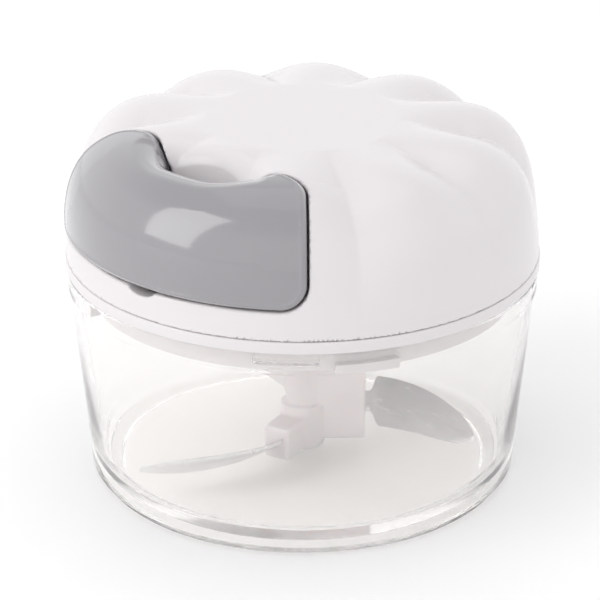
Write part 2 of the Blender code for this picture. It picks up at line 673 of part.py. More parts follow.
def make_lid_cover():
    coating = white_plastic()
    cover = dome("lid_cover", 0.0, LID_BOTTOM, DOME_ROWS, coating)
    hollow = dome("hollow", LID_WALL, LID_BOTTOM - OVERRUN, HOLLOW_ROWS, coating)
    grown = RUNNING_GAP + SEAT_WALL
    cut(hollow, handle_patch("seat", -SEAT_MOUTH, SEAT_DEPTH + SEAT_WALL, grown, coating))
    cut(hollow, scoop("scoop", SEAT_WALL, coating))
    cut(cover, hollow)
    cut(cover, handle_patch("seat", -SEAT_MOUTH, SEAT_DEPTH, RUNNING_GAP, coating))
    cut(cover, scoop("scoop", 0.0, coating))
    notch_length = SEAT_DEPTH + OVERRUN
    notch = [(0.0, 0.0), (NOTCH_RADIUS, 0.0), (NOTCH_RADIUS, notch_length), (0.0, notch_length)]
    notch_tool = lying_rod("notch", notch, (0.0, 0.0, 0.0), coating)
    notch_tool.data.transform(Matrix.Diagonal((1, 1, NOTCH_FLATNESS, 1)))
    notch_at = (0.0, notch_length - LID_RADIUS - 2 * OVERRUN, HANDLE_BOTTOM - RUNNING_GAP)
    notch_tool.data.transform(Matrix.Translation(notch_at))
    cut(cover, notch_tool)
    arbor_end = SPOOL_BOTTOM - GAP
    ceiling = LID_TOP - LID_WALL / 2
    taper_end = SPOOL_TOP + ARBOR_FREE_LENGTH
    pilot = SCREW_RADIUS + GAP
    pilot_top = arbor_end + SCREW_LENGTH + OVERRUN
    arbor = [
        (0.0, pilot_top),
        (pilot, pilot_top),
        (pilot, arbor_end),
        (ARBOR_RADIUS, arbor_end),
        (ARBOR_RADIUS, taper_end),
        (ARBOR_ROOT_RADIUS, taper_end + ARBOR_TAPER),
        (ARBOR_ROOT_RADIUS, ceiling),
        (0.0, ceiling),
    ]
    add(cover, turned("arbor", arbor, coating, SMALL_STEPS))
    half = SCREW_RIB_WIDTH / 2
    reach = (SCREW_CIRCLE, LID_RADIUS - LID_WALL + GAP)
    for bearing in SCREW_BEARINGS:
        middle = at_bearing(SCREW_CIRCLE, bearing)
        column = disc_outline(SCREW_BOSS_RADIUS, PIN_STEPS, middle)
        boss = prism("boss", column, LID_BOTTOM, SCREW_BOSS_TOP, coating)
        rib = block("rib", reach, (-half, half), (LID_BOTTOM, SCREW_BOSS_TOP - SCREW_RIB_DROP), coating)
        turn_about_z(rib, bearing - 90.0)
        add(boss, rib)
        hole = disc_outline(pilot, SCREW_STEPS, middle)
        cut(boss, prism("pilot", hole, LID_BOTTOM - OVERRUN, FLANGE_TOP + SCREW_LENGTH, coating))
        add(cover, boss)
    hole_radius = eyelet_barrel() + GAP
    hole_length = 2 * (SEAT_WALL + OVERRUN)
    eyelet = [(0.0, 0.0), (hole_radius, 0.0), (hole_radius, hole_length), (0.0, hole_length)]
    cut(cover, lying_rod("eyelet", eyelet, (0.0, hole_length / 2 - guide_face(), CORD_GUIDE_HEIGHT), coating))


def eyelet_barrel():
    return CORD_RADIUS + GAP + EYELET_WALL


def guide_face():
    """Distance from the axis to the seat's floor where the cord comes out."""
    sweep = sweep_at_height(CORD_GUIDE_HEIGHT)
    return lid_profile(sweep)[0] - SEAT_DEPTH


def make_cord_guide():
    bore = CORD_RADIUS + GAP
    barrel = eyelet_barrel()
    flange = barrel + EYELET_FLANGE
    seated = SEAT_WALL + GAP / 2
    length = seated + EYELET_WALL
    outline = [
        (bore, 0.0),
        (barrel, 0.0),
        (barrel, seated),
        (flange, seated),
        (flange, length),
        (bore + EYELET_ROUND, length),
        (bore, length - EYELET_ROUND),
    ]
    start = (0.0, -guide_face() - GAP + seated, CORD_GUIDE_HEIGHT)
    lying_rod("cord_guide", outline, start, steel())


def make_handle():
    depth = HANDLE_WALL - HANDLE_PROUD
    handle_patch("pull_handle", -HANDLE_PROUD, depth, 0.0, grey_plastic(), HANDLE_COLUMNS, HANDLE_ROWS)
    outer = depth + GAP
    inner = outer + HANDLE_BACK_WALL
    back = handle_patch("handle_back", outer, inner, -HANDLE_BACK_INSET, grey_plastic())
    crest = lid_profile(sweep_at_height(CORD_GUIDE_HEIGHT + STOPPER_RADIUS))[0]
    hole_radius = STOPPER_RADIUS + GAP
    hole_length = HANDLE_BACK_WALL + 2 * OVERRUN
    hole = [(0.0, 0.0), (hole_radius, 0.0), (hole_radius, hole_length), (0.0, hole_length)]
    cut(back, lying_rod("hole", hole, (0.0, inner - crest + OVERRUN, CORD_GUIDE_HEIGHT), grey_plastic()))
    stopper = [
        (0.0, 0.0),
        (STOPPER_RADIUS - STOPPER_ROUND_OFF, 0.0),
        (STOPPER_RADIUS, STOPPER_ROUND_OFF),
        (STOPPER_RADIUS, STOPPER_LENGTH),
        (0.0, STOPPER_LENGTH),
    ]
    stopper_at = outer - crest + STOPPER_LENGTH
    lying_rod("cord_stopper", stopper, (0.0, stopper_at, CORD_GUIDE_HEIGHT), inner_plastic())
    return stopper_at


def cord_tube(name, points):
    """A short run of cord as a round tube with flat ends."""
    curve = bpy.data.curves.new(name, "CURVE")
    curve.dimensions = "3D"
    curve.bevel_depth = CORD_RADIUS
    curve.bevel_resolution = 2
    curve.use_fill_caps = True
    spline = curve.splines.new("POLY")
    spline.points.add(len(points) - 1)
    for place, point in zip(spline.points, points):
        place.co = (*point, 1.0)
    curve.materials.append(cord_fibre())
    made = bpy.data.objects.new(name, curve)
    bpy.context.scene.collection.objects.link(made)
    return made


def make_cord(stopper_at):
    guide = guide_face()
    outside = Vector((0.0, stopper_at + GAP, CORD_GUIDE_HEIGHT))
    inside = Vector((0.0, -guide + SEAT_WALL + CORD_OVERLAP, CORD_GUIDE_HEIGHT))
    cord_tube("pull_cord", [outside, inside])
    # The straight run from the guide meets the winding along its tangent.
    entry = Vector((0.0, inside.y + GAP + CORD_RADIUS, CORD_GUIDE_HEIGHT))
    distance = -entry.y
    swing = math.acos(WINDING_RADIUS / distance)
    touch = Vector((*at_bearing(WINDING_RADIUS, math.degrees(swing)), CORD_HEIGHT))
    outer_edge = WINDING_RADIUS + CORD_RADIUS
    clear = math.sqrt((outer_edge + CORD_RADIUS + GAP) ** 2 - WINDING_RADIUS**2)
    along = (entry - touch).normalized()
    cord_tube("cord_lead", [entry, (entry + touch) / 2, touch + along * clear])
    half = CORD_TURNS * CORD_RADIUS
    inner_edge = DRUM_RADIUS + GAP
    outline = [
        (inner_edge, CORD_HEIGHT + half),
        (inner_edge, CORD_HEIGHT - half),
        (outer_edge - WINDING_BULGE, CORD_HEIGHT - half),
    ]
    for turn in range(CORD_TURNS):
        middle = CORD_HEIGHT - half + (2 * turn + 1) * CORD_RADIUS
        outline += [(outer_edge, middle), (outer_edge - WINDING_BULGE, middle + CORD_RADIUS)]
    turned("cord_winding", outline, cord_fibre(), SMALL_STEPS)


def make_spool():
    cavity = DRUM_RADIUS - DRUM_WALL
    bore = ARBOR_RADIUS + GAP
    edge = SPOOL_ROUND_OFF
    outline = [
        (bore, SPOOL_BOTTOM),
        (SPOOL_FLANGE_RADIUS - edge, SPOOL_BOTTOM),
        (SPOOL_FLANGE_RADIUS, SPOOL_BOTTOM + edge),
        (SPOOL_FLANGE_RADIUS, GROOVE_BOTTOM - edge),
        (SPOOL_FLANGE_RADIUS - edge, GROOVE_BOTTOM),
        (DRUM_RADIUS, GROOVE_BOTTOM),
        (DRUM_RADIUS, GROOVE_TOP),
        (SPOOL_FLANGE_RADIUS - edge, GROOVE_TOP),
        (SPOOL_FLANGE_RADIUS, GROOVE_TOP + edge),
        (SPOOL_FLANGE_RADIUS, SPOOL_TOP - edge),
        (SPOOL_FLANGE_RADIUS - edge, SPOOL_TOP),
        (cavity, SPOOL_TOP),
        (cavity, GROOVE_BOTTOM),
        (bore, GROOVE_BOTTOM),
    ]
    spool = turned("spool", outline, inner_plastic(), SMALL_STEPS)
    for number in range(PAWL_COUNT):
        centre = pawl_pivot(number)
        pin = disc_outline(PAWL_PIN_RADIUS, PIN_STEPS, centre)
        add(spool, prism("pin", pin, PAWL_BOTTOM + GAP, SPOOL_BOTTOM + MERGE, inner_plastic()))
    cover_bottom = SPOOL_TOP + GAP
    cover_radius = SPOOL_FLANGE_RADIUS - SPRING_COVER_INSET
    cover = [
        (bore, cover_bottom),
        (cover_radius, cover_bottom),
        (cover_radius, cover_bottom + SPRING_COVER),
        (bore, cover_bottom + SPRING_COVER),
    ]
    turned("spring_cover", cover, inner_plastic(), SMALL_STEPS)


def make_recoil_spring():
    """A flat steel strip coiled between the arbor and the drum."""
    bottom = GROOVE_BOTTOM + RUNNING_GAP
    top = SPOOL_TOP - GAP
    start = ARBOR_RADIUS + GAP + SPRING_STRIP
    end = DRUM_RADIUS - DRUM_WALL - GAP - SPRING_STRIP
    steps = int(SPRING_TURNS * SPRING_STEPS_PER_TURN)
    half = SPRING_STRIP / 2
    mesh = bmesh.new()
    columns = []
    for step in range(steps + 1):
        share = step / steps
        radius = start + (end - start) * share
        angle = math.tau * SPRING_TURNS * share
        out = Vector((math.cos(angle), math.sin(angle), 0.0))
        inner, outer = out * (radius - half), out * (radius + half)
        corners = ((inner, bottom), (outer, bottom), (outer, top), (inner, top))
        columns.append([mesh.verts.new((flat.x, flat.y, height)) for flat, height in corners])
    for left, right in zip(columns, columns[1:]):
        for corner in range(4):
            following = (corner + 1) % 4
            mesh.faces.new((left[corner], left[following], right[following], right[corner]))
    mesh.faces.new(columns[0])
    mesh.faces.new(columns[-1])
    new_object("recoil_spring", mesh, steel())


def pawl_pivot(number):
    return at_bearing(PAWL_PIVOT_CIRCLE, PAWL_LAG + 360.0 * number / PAWL_COUNT)


def make_pawls():
    """Pawls that push the ratchet's teeth clockwise, seen from above."""
    for number in range(PAWL_COUNT):
        turn = 360.0 * number / PAWL_COUNT
        pivot = Vector(pawl_pivot(number))
        tip_radius = RATCHET_ROOT_RADIUS - PAWL_TIP_CLEARANCE
        tip = Vector(at_bearing(tip_radius, turn + PAWL_TIP_LAG))
        heel = Vector(at_bearing(tip_radius - PAWL_TIP_WIDTH, turn + PAWL_HEEL_LAG))
        along = (tip - pivot).normalized()
        start = math.degrees(math.atan2(along.y, along.x)) + PAWL_EYE_START
        outline = arc_points(pivot, PAWL_EYE_RADIUS, start, start + PAWL_EYE_ARC, PIN_STEPS // 2)
        outline += [tuple(heel), tuple(tip)]
        pawl = prism(f"pawl_{number + 1}", outline, PAWL_BOTTOM, PAWL_TOP, inner_plastic())
        hole = disc_outline(PAWL_PIN_RADIUS + GAP, PIN_STEPS, tuple(pivot))
        cut(pawl, prism("hole", hole, PAWL_BOTTOM - OVERRUN, PAWL_TOP + OVERRUN, inner_plastic()))


def make_drive_shaft():
    outline = [
        (0.0, SHAFT_BOTTOM),
        (SHAFT_RADIUS, SHAFT_BOTTOM),
        (SHAFT_RADIUS, DISC_BOTTOM),
        (RATCHET_RADIUS, DISC_BOTTOM),
        (RATCHET_RADIUS, DISC_TOP),
        (0.0, DISC_TOP),
    ]
    shaft = turned("drive_shaft", outline, inner_plastic(), SMALL_STEPS)
    teeth = []
    pitch = 360.0 / RATCHET_TEETH
    for tooth in range(RATCHET_TEETH):
        bearing = pitch * tooth
        teeth.append(at_bearing(RATCHET_TIP_RADIUS, bearing))
        for share in (0.0, 0.5):
            radius = RATCHET_ROOT_RADIUS + (RATCHET_TIP_RADIUS - RATCHET_ROOT_RADIUS) * share
            teeth.append(at_bearing(radius, bearing + TOOTH_UNDERCUT + pitch * share))
    wall = disc_outline(RATCHET_RADIUS, SMALL_STEPS)
    ring = prism("ring", wall, DISC_TOP - MERGE, RATCHET_TOP, inner_plastic())
    cut(ring, prism("teeth", teeth, DISC_TOP, RATCHET_TOP + OVERRUN, inner_plastic()))
    add(shaft, ring)
    half = TONGUE_WIDTH / 2
    reach = (-TONGUE_REACH, TONGUE_REACH)
    add(shaft, block("tongue", reach, (-half, half), (TONGUE_BOTTOM, SHAFT_BOTTOM + MERGE), inner_plastic()))


def screw(name, at, head_height, length, coating):
    """A pan-head screw standing on its head at a point, thread end up."""
    outline = [
        (0.0, 0.0),
        (SCREW_HEAD_RADIUS * 0.75, 0.0),
        (SCREW_HEAD_RADIUS, head_height * 0.4),
        (SCREW_HEAD_RADIUS, head_height),
        (SCREW_RADIUS, head_height),
        (SCREW_RADIUS, head_height + length - SCREW_POINT),
        (0.0, head_height + length),
    ]
    made = turned(name, outline, coating, SCREW_STEPS)
    made.data.transform(Matrix.Translation(at))
    half = SCREW_RADIUS * 0.3
    reach = SCREW_HEAD_RADIUS * 0.6
    for x, y in ((half, reach), (reach, half)):
        depth = (at[2] - OVERRUN, at[2] + head_height * 0.5)
        slot = block("slot", (at[0] - x, at[0] + x), (at[1] - y, at[1] + y), depth, coating)
        cut(made, slot)


def make_fasteners():
    for number, bearing in enumerate(SCREW_BEARINGS):
        x, y = at_bearing(SCREW_CIRCLE, bearing)
        bottom = PLATE_BOTTOM - GAP - SCREW_HEAD_HEIGHT
        screw(f"base_screw_{number + 1}", (x, y, bottom), SCREW_HEAD_HEIGHT, SCREW_LENGTH, steel())
    washer_top = SPOOL_BOTTOM - 2 * GAP
    washer_bottom = washer_top - WASHER_THICKNESS
    outline = [
        (SCREW_RADIUS + GAP, washer_bottom),
        (WASHER_RADIUS, washer_bottom),
        (WASHER_RADIUS, washer_top),
        (SCREW_RADIUS + GAP, washer_top),
    ]
    turned("spool_washer", outline, steel(), SMALL_STEPS)
    head = washer_bottom - GAP - (DISC_TOP + GAP)
    screw("spool_screw", (0.0, 0.0, DISC_TOP + GAP), head, SCREW_LENGTH, steel())


# Rotor


def blade_mesh(name, grow, last, coating):
    """A hooked, tilted plate along +X at height 0: a narrow tang that widens into the cutting part."""
    tilt = math.tan(math.radians(BLADE_TILT))
    neck = BLADES[1][5]
    shoulder = neck + OVERRUN
    stations = [BLADE_TANG_START - grow, neck - OVERRUN, shoulder, shoulder + BLADE_SHOULDER]
    run = BLADE_REACH - stations[-1]
    for step in range(1, BLADE_STATIONS + 1):
        stations.append(shoulder + BLADE_SHOULDER + run * math.sin(math.pi / 2 * step / BLADE_STATIONS))
    mesh = bmesh.new()
    sections = []
    for station in stations:
        if station > last:
            break
        sideways = -BLADE_SWEEP * max(station - neck + BLADE_SHOULDER, 0.0) ** 2
        if station <= shoulder:
            width = BLADE_TANG_WIDTH
            edge = 1.0
        else:
            share = (station - shoulder) / (BLADE_REACH - shoulder)
            width = BLADE_WIDTH * math.sqrt(max(1.0 - share**3, BLADE_POINT**2))
            edge = BLADE_EDGE
        half_width = width / 2 + grow
        half_thick = BLADE_THICKNESS / 2 + grow
        ground = half_thick * edge
        bevel = half_width * BLADE_GRIND
        corners = (
            (-half_width, -ground * 0.5),
            (-half_width + bevel, -half_thick),
            (half_width, -half_thick),
            (half_width, half_thick),
            (-half_width + bevel, half_thick),
            (-half_width, ground * 0.5),
        )
        section = []
        for across, lift in corners:
            section.append(mesh.verts.new((station, sideways + across, across * tilt + lift)))
        sections.append(section)
    for left, right in zip(sections, sections[1:]):
        for corner in range(6):
            following = (corner + 1) % 6
            mesh.faces.new((left[corner], left[following], right[following], right[corner]))
    mesh.faces.new(sections[0])
    mesh.faces.new(sections[-1])
    return new_object(name, mesh, coating, curved=True)


def place_blade(blade, height, bearing):
    blade.data.transform(Matrix.Rotation(math.radians(bearing - 90.0), 4, "Z"))
    blade.data.transform(Matrix.Translation((0, 0, height)))


def make_rotor():
    coating = milky_plastic()
    foot = BOWL_FLOOR + RUNNING_GAP
    socket = PIVOT_RADIUS + RUNNING_GAP
    socket_top = BOWL_FLOOR + PIVOT_HEIGHT + RUNNING_GAP
    column_foot_top = foot + COLUMN_FOOT_HEIGHT
    cup_inner = CUP_RADIUS - CUP_WALL
    outline = [
        (0.0, socket_top),
        (socket, socket_top),
        (socket, foot),
        (COLUMN_FOOT_RADIUS, foot),
        (COLUMN_FOOT_RADIUS, column_foot_top),
        (COLUMN_RADIUS, column_foot_top + COLUMN_STEP),
        (COLUMN_RADIUS, CUP_BOTTOM - CUP_TAPER),
        (CUP_RADIUS, CUP_BOTTOM),
        (CUP_RADIUS, CUP_TOP),
        (cup_inner, CUP_TOP),
        (cup_inner, CUP_INNER_FLOOR),
        (0.0, CUP_INNER_FLOOR),
    ]
    hub = turned("blade_hub", outline, coating, SMALL_STEPS)
    half = FIN_WIDTH / 2
    for name, height, bearing, fin_foot, fin_top, fin_reach in BLADES:
        fin = block("fin", (COLUMN_RADIUS - MERGE, fin_reach), (-half, half), (fin_foot, fin_top), coating)
        turn_about_z(fin, bearing - 90.0)
        add(hub, fin)
    rib_half = CUP_RIB_WIDTH / 2
    rib_outer = cup_inner + CUP_WALL / 2
    for side in (-1, 1):
        reach = sorted((side * (cup_inner - CUP_RIB_REACH), side * rib_outer))
        heights = (CUP_INNER_FLOOR - MERGE, CUP_TOP - CUP_LEAD_IN)
        add(hub, block("cup_rib", (-rib_half, rib_half), reach, heights, coating))
    for name, height, bearing, fin_foot, fin_top, fin_reach in BLADES:
        slot = blade_mesh("slot", GAP, fin_reach + BLADE_SLOT_RUN, coating)
        place_blade(slot, height, bearing)
        cut(hub, slot)
        blade = blade_mesh(name, 0.0, BLADE_REACH + OVERRUN, steel())
        place_blade(blade, height, bearing)


def main():
    for leftover in list(bpy.data.objects):
        bpy.data.objects.remove(leftover)
    make_bowl()
    make_lid_seal()
    make_lid_base()
    make_shaft_seal()
    make_lid_cover()
    make_cord_guide()
    stopper_at = make_handle()
    make_cord(stopper_at)
    make_spool()
    make_recoil_spring()
    make_pawls()
    make_drive_shaft()
    make_fasteners()
    make_rotor()


main()
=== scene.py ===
"""Looks of the hand-pulled food chopper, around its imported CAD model.

Metres, +Z up, handle towards -Y.
"""

import math

import bmesh
import bpy
import numpy as np
from mathutils import Matrix, Vector


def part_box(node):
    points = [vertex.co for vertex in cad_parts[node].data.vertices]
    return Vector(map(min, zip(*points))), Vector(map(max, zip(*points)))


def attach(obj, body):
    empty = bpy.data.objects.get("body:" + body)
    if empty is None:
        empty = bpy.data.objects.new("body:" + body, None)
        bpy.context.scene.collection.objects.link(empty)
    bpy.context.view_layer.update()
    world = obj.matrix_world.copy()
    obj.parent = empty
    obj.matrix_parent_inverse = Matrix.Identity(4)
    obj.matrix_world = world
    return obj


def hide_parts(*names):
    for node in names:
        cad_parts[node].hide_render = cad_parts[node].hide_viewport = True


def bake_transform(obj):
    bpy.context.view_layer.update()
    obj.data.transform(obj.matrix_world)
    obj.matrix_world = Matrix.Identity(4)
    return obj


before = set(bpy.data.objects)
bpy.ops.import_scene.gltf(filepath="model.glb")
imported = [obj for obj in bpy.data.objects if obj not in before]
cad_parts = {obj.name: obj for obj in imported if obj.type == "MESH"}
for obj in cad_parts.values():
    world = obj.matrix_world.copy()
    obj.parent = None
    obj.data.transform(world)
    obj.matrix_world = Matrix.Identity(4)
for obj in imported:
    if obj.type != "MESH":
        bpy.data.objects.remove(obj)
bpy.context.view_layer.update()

MM = 0.001
GAP = 0.3 * MM
RUNNING_GAP = 0.4 * MM

# Fillets that are used in many places
FINE_EDGE = 0.2 * MM
CRISP_EDGE = 0.3 * MM
SMALL_EDGE = 0.4 * MM
HALF_EDGE = 0.5 * MM
SOFT_EDGE = 0.8 * MM
BROAD_EDGE = 1.0 * MM

# Overall, read from the frame
FLANGE_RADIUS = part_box("lid_base")[1].x
BOWL_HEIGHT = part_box("bowl")[1].z
FLANGE_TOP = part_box("lid_base")[1].z
LID_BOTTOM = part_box("lid_cover")[0].z
LID_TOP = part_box("lid_cover")[1].z

# Bowl
BOWL_RIM_RADIUS = FLANGE_RADIUS - 0.4 * MM
BOWL_COLLAR_HEIGHT = 4.0 * MM
BOWL_COLLAR_STEP = 0.35 * MM
BOWL_HEEL_RADIUS = BOWL_RIM_RADIUS - 3.6 * MM
BOWL_HEEL_HEIGHT = 4.6 * MM
BOWL_FOOT_RADIUS = BOWL_HEEL_RADIUS - 1.4 * MM
BOWL_WALL = 2.0 * MM
BOWL_FLOOR = 3.0 * MM
BOWL_FLOOR_FILLET = 6.0 * MM
FOOT_RING_WIDTH = 3.4 * MM
FOOT_RING_DEPTH = 1.0 * MM
PIVOT_RADIUS = 1.9 * MM
PIVOT_HEIGHT = 7.5 * MM
COLLAR_BOTTOM = BOWL_HEIGHT - BOWL_COLLAR_HEIGHT
BORE_RADIUS = BOWL_RIM_RADIUS - BOWL_WALL

# Bayonet lugs
LUG_COUNT = 4
LUG_ANGLE = 16.0
LUG_REACH = 1.5 * MM
BOWL_LUG_TOP = BOWL_HEIGHT - 1.55 * MM
BOWL_LUG_BOTTOM = BOWL_LUG_TOP - 1.2 * MM
LID_LUG_BEARING = 56.5
LOCK_TURN = 20.0

# Lid
LID_RADIUS = FLANGE_RADIUS - 0.2 * MM
LID_SPRING_HEIGHT = LID_BOTTOM - 1.9 * MM
LID_PLATEAU_RADIUS = 18.6 * MM
LID_SHOULDER_POWER = 3.74
LID_CROWN_POWER = 3.71
LID_WALL = 2.0 * MM
LOBE_COUNT = 10
LOBE_GROOVE_DEPTH = 2.68 * MM
LOBE_FADE_POWER = 1.5
LOBE_SOFTNESS = 0.05
PLATEAU_BLEND = 0.45
FLANGE_BOTTOM = BOWL_HEIGHT + GAP
PLATE_BOTTOM = FLANGE_TOP - 2.0 * MM
SKIRT_WALL = 1.6 * MM
SKIRT_RADIUS = BORE_RADIUS - LUG_REACH - GAP
SKIRT_BOTTOM = FLANGE_BOTTOM - 5.0 * MM
LEAST_SLOPE = 5.0
LID_RIM_EDGE = 0.25 * MM
LID_GRID = 0.6 * MM

# Shaft passage in the lid's base
SHAFT_HOLE = 6.4 * MM
SEAL_HOLE = 7.8 * MM
SHAFT_COLLAR = 9.4 * MM
SHAFT_COLLAR_DEPTH = 7.0 * MM

# Spool's arbor under the lid's roof
ARBOR_RADIUS = 4.0 * MM
ARBOR_ROOT_RADIUS = 5.8 * MM
ARBOR_LENGTH = 10.0 * MM

# Handle and scoop
HANDLE_HALF_LENGTH = 33.2 * MM
HANDLE_BOTTOM = LID_BOTTOM + 5.7 * MM
HANDLE_WAIST = 25.3 * MM
HANDLE_LOBE = 30.3 * MM
HANDLE_WAIST_ANGLE = math.radians(7.0)
HANDLE_LOBE_ANGLE = math.radians(34.0)
HANDLE_LOW_CORNER = 5.0 * MM
HANDLE_HIGH_CORNER = 8.0 * MM
HANDLE_PROUD = 0.3 * MM
HANDLE_WALL = 2.15 * MM
HANDLE_BACK_WALL = 1.4 * MM
HANDLE_BACK_INSET = 3.0 * MM
HANDLE_CORE_RADIUS = 20.0 * MM
HANDLE_ROLL_REACH = 5.0 * MM
HANDLE_LIP_WIDTH = 2.6 * MM
HANDLE_LIP_DEPTH = 5.9 * MM
HANDLE_LIP_REACH = 2.5 * MM
SEAT_DEPTH = 6.5 * MM
SEAT_WALL = 1.8 * MM
SCOOP_CENTRE = (0.0, 11.3 * MM - LID_RADIUS, LID_TOP + 0.1 * MM)
SCOOP_RADII = (16.0 * MM, 10.5 * MM, 13.5 * MM)
SCOOP_EDGE = 3.5 * MM
SEAT_EDGE = 0.45 * MM
SEAT_BOX_EDGE = 1.5 * MM
SEAM = -0.05 * MM
NOTCH_RADIUS = 3.0 * MM
NOTCH_FLATNESS = 0.4
HANDLE_EDGE = 1.1 * MM
HANDLE_ROLL_EDGE = 3.6 * MM
HANDLE_CROWN = 0.4 * MM
HANDLE_CROWN_RUN = 9.0 * MM
HANDLE_BEAD = 0.16 * MM
HANDLE_BEAD_INSET = 1.0 * MM
HANDLE_BEAD_WIDTH = 0.35 * MM
HANDLE_BACK_EDGE = 0.35 * MM
SCALE_RANGE = (0.3, 1.1)
DETAIL_GRID = 0.4 * MM

# Cord
CORD_RADIUS = 0.8 * MM
CORD_TURNS = 2
CORD_GUIDE_HEIGHT = LID_BOTTOM + 8.9 * MM
STOPPER_RADIUS = 2.4 * MM
STOPPER_LENGTH = 2.3 * MM
EYELET_WALL = 0.7 * MM
CORD_TURN_STEPS = 96
CORD_SQUEEZE = 0.98

# Spool and spring
SPOOL_FLANGE = 1.4 * MM
SPOOL_GROOVE = 3.8 * MM
SPOOL_DRUM = 20.4 * MM
SPOOL_CAVITY = 18.9 * MM
SPOOL_BORE = 4.3 * MM
SPRING_TURNS = 5.0
SPRING_STEPS = 64
SPRING_START = 4.6 * MM
SPRING_END = 18.3 * MM
SPRING_HALF = 0.14 * MM

# Pawls, ratchet and shaft
PAWL_PIN_RADIUS = 1.0 * MM
PAWL_PIN_CIRCLE = 8.8 * MM
PAWL_PIN_BEARING = 31.0
PAWL_BEVEL = 0.15 * MM
SHAFT_RADIUS = 6.0 * MM
RATCHET_PLATE = 1.6 * MM
RATCHET_TEETH = 12
RATCHET_ROOT = 13.9 * MM
RATCHET_TIP = 12.4 * MM
RAMP_STEPS = 5
RATCHET_LEAN = 0.4
RATCHET_SINK = 0.8 * MM
RATCHET_INSET = 0.02 * MM
TONGUE_LENGTH = 9.4 * MM
TONGUE_HALF = 5.6 * MM
TONGUE_THIN = 1.7 * MM
SHAFT_BEVEL = 0.2 * MM

# Screws
SCREW_CIRCLE = FLANGE_RADIUS - 10.5 * MM
SCREW_BEARINGS = (72.0, 144.0, 216.0, 288.0)
SCREW_RADIUS = 0.95 * MM
SCREW_HEAD_RADIUS = 2.3 * MM
SCREW_LENGTH = 9.0 * MM
SCREW_DOME = 0.9 * MM
SCREW_PITCH = 0.8 * MM
CREST_SHARE = 0.45
ROOT_SHARE = 0.95
SCREW_ROOT_RADIUS = SCREW_RADIUS * 0.78
SCREW_SLOT_HALF = 0.3 * MM
SCREW_SLOT_REACH = 1.35 * MM
SCREW_SLOT_SHARE = 0.55
SCREW_BOSS_RADIUS = 2.9 * MM
SCREW_BOSS_TOP = LID_BOTTOM + 15.7 * MM

# Rotor
COLUMN_RADIUS = 3.3 * MM
COLUMN_FOOT_RADIUS = 4.4 * MM
COLUMN_FOOT_HEIGHT = 9.5 * MM
CUP_RADIUS = 7.6 * MM
CUP_WALL = 1.4 * MM
CUP_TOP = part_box("blade_hub")[1].z
CUP_INNER_FLOOR = CUP_TOP - 8.6 * MM
CUP_BOTTOM = CUP_INNER_FLOOR - 2.4 * MM
CUP_RIB_WIDTH = 2.4 * MM
CUP_RIB_REACH = 3.0 * MM
CUP_RIB_DROP = 2.0 * MM
CUP_JOIN = 1.6 * MM
CUP_EDGE = 0.6 * MM
FIN_WIDTH = 5.6 * MM
FIN_EDGE = 0.7 * MM
ROTOR_GRID_REACH = 13.5 * MM
BLADE_THICKNESS = 0.9 * MM
BLADE_REACH = 33.0 * MM
BLADE_WIDTH = 9.4 * MM
BLADE_TANG_WIDTH = 3.4 * MM
BLADE_TANG_START = 7.0 * MM
BLADE_SHOULDER = 1.6 * MM
BLADE_NECK = 12.4 * MM
BLADE_SWEEP = 34.0
BLADE_TILT = 35.0
BLADE_TIP_SHARE = 0.004
BLADE_EDGE_GRIND = 0.93
BLADE_BEVEL_SHARE = 0.55
BLADE_BACK_EDGE = 0.12 * MM
BLADE_SHOULDER_STEPS = 4
BLADE_STEPS = 36
# name, height of the blade, bearing, fin foot, fin top, fin reach
BLADES = (
    ("blade_upper", 18.5 * MM, 250.5, 15.0 * MM, 22.5 * MM, 10.6 * MM),
    ("blade_middle", 12.6 * MM, 130.5, 5.2 * MM, 22.0 * MM, 12.4 * MM),
    ("blade_lower", 7.4 * MM, 10.5, 4.0 * MM, 10.8 * MM, 10.6 * MM),
)

ROUND_STEPS = 192
PIECE_STEPS = 96
SCREW_STEPS = 40
HOLE_STEPS = 32
PIN_STEPS = 24
ON_AXIS = 1e-9

# Surfaces grown from fields, in shares of the grid's step
PROBE_SHARE = 0.04
LEAST_SLOPE_SQUARED = 0.04
MOST_TRAVEL = 0.6
SURFACE_PASSES = 4


# Materials


def new_material(name):
    made = bpy.data.materials.new(name)
    made.use_nodes = True
    tree = made.node_tree
    return made, tree, tree.nodes["Principled BSDF"]


def set_sockets(node, **values):
    """Set a node's input sockets by name, with _ for a space."""
    for name, value in values.items():
        node.inputs[name.replace("_", " ")].default_value = value


def add_node(tree, kind, **values):
    node = tree.nodes.new(kind)
    set_sockets(node, **values)
    return node


def body_coordinates(tree, stretch=(1.0, 1.0, 1.0)):
    """Object coordinates, stretched along the axes."""
    coordinates = tree.nodes.new("ShaderNodeTexCoord")
    mapping = add_node(tree, "ShaderNodeMapping", Scale=stretch)
    tree.links.new(coordinates.outputs["Object"], mapping.inputs["Vector"])
    return mapping.outputs["Vector"]


def noise(tree, place, scale, detail=3.0, roughness=0.5):
    node = add_node(tree, "ShaderNodeTexNoise", Scale=scale, Detail=detail, Roughness=roughness)
    tree.links.new(place, node.inputs["Vector"])
    return node.outputs["Fac"]


def ranged(tree, value, low, high):
    """The usual range of a noise value, mapped to low to high."""
    node = add_node(tree, "ShaderNodeMapRange", From_Min=0.3, From_Max=0.7, To_Min=low, To_Max=high)
    tree.links.new(value, node.inputs["Value"])
    return node.outputs["Result"]


def mixed_colour(tree, share, dark, light):
    node = tree.nodes.new("ShaderNodeMix")
    node.data_type = "RGBA"
    set_sockets(node, A=(*dark, 1.0), B=(*light, 1.0))
    tree.links.new(share, node.inputs["Factor"])
    return node.outputs["Result"]


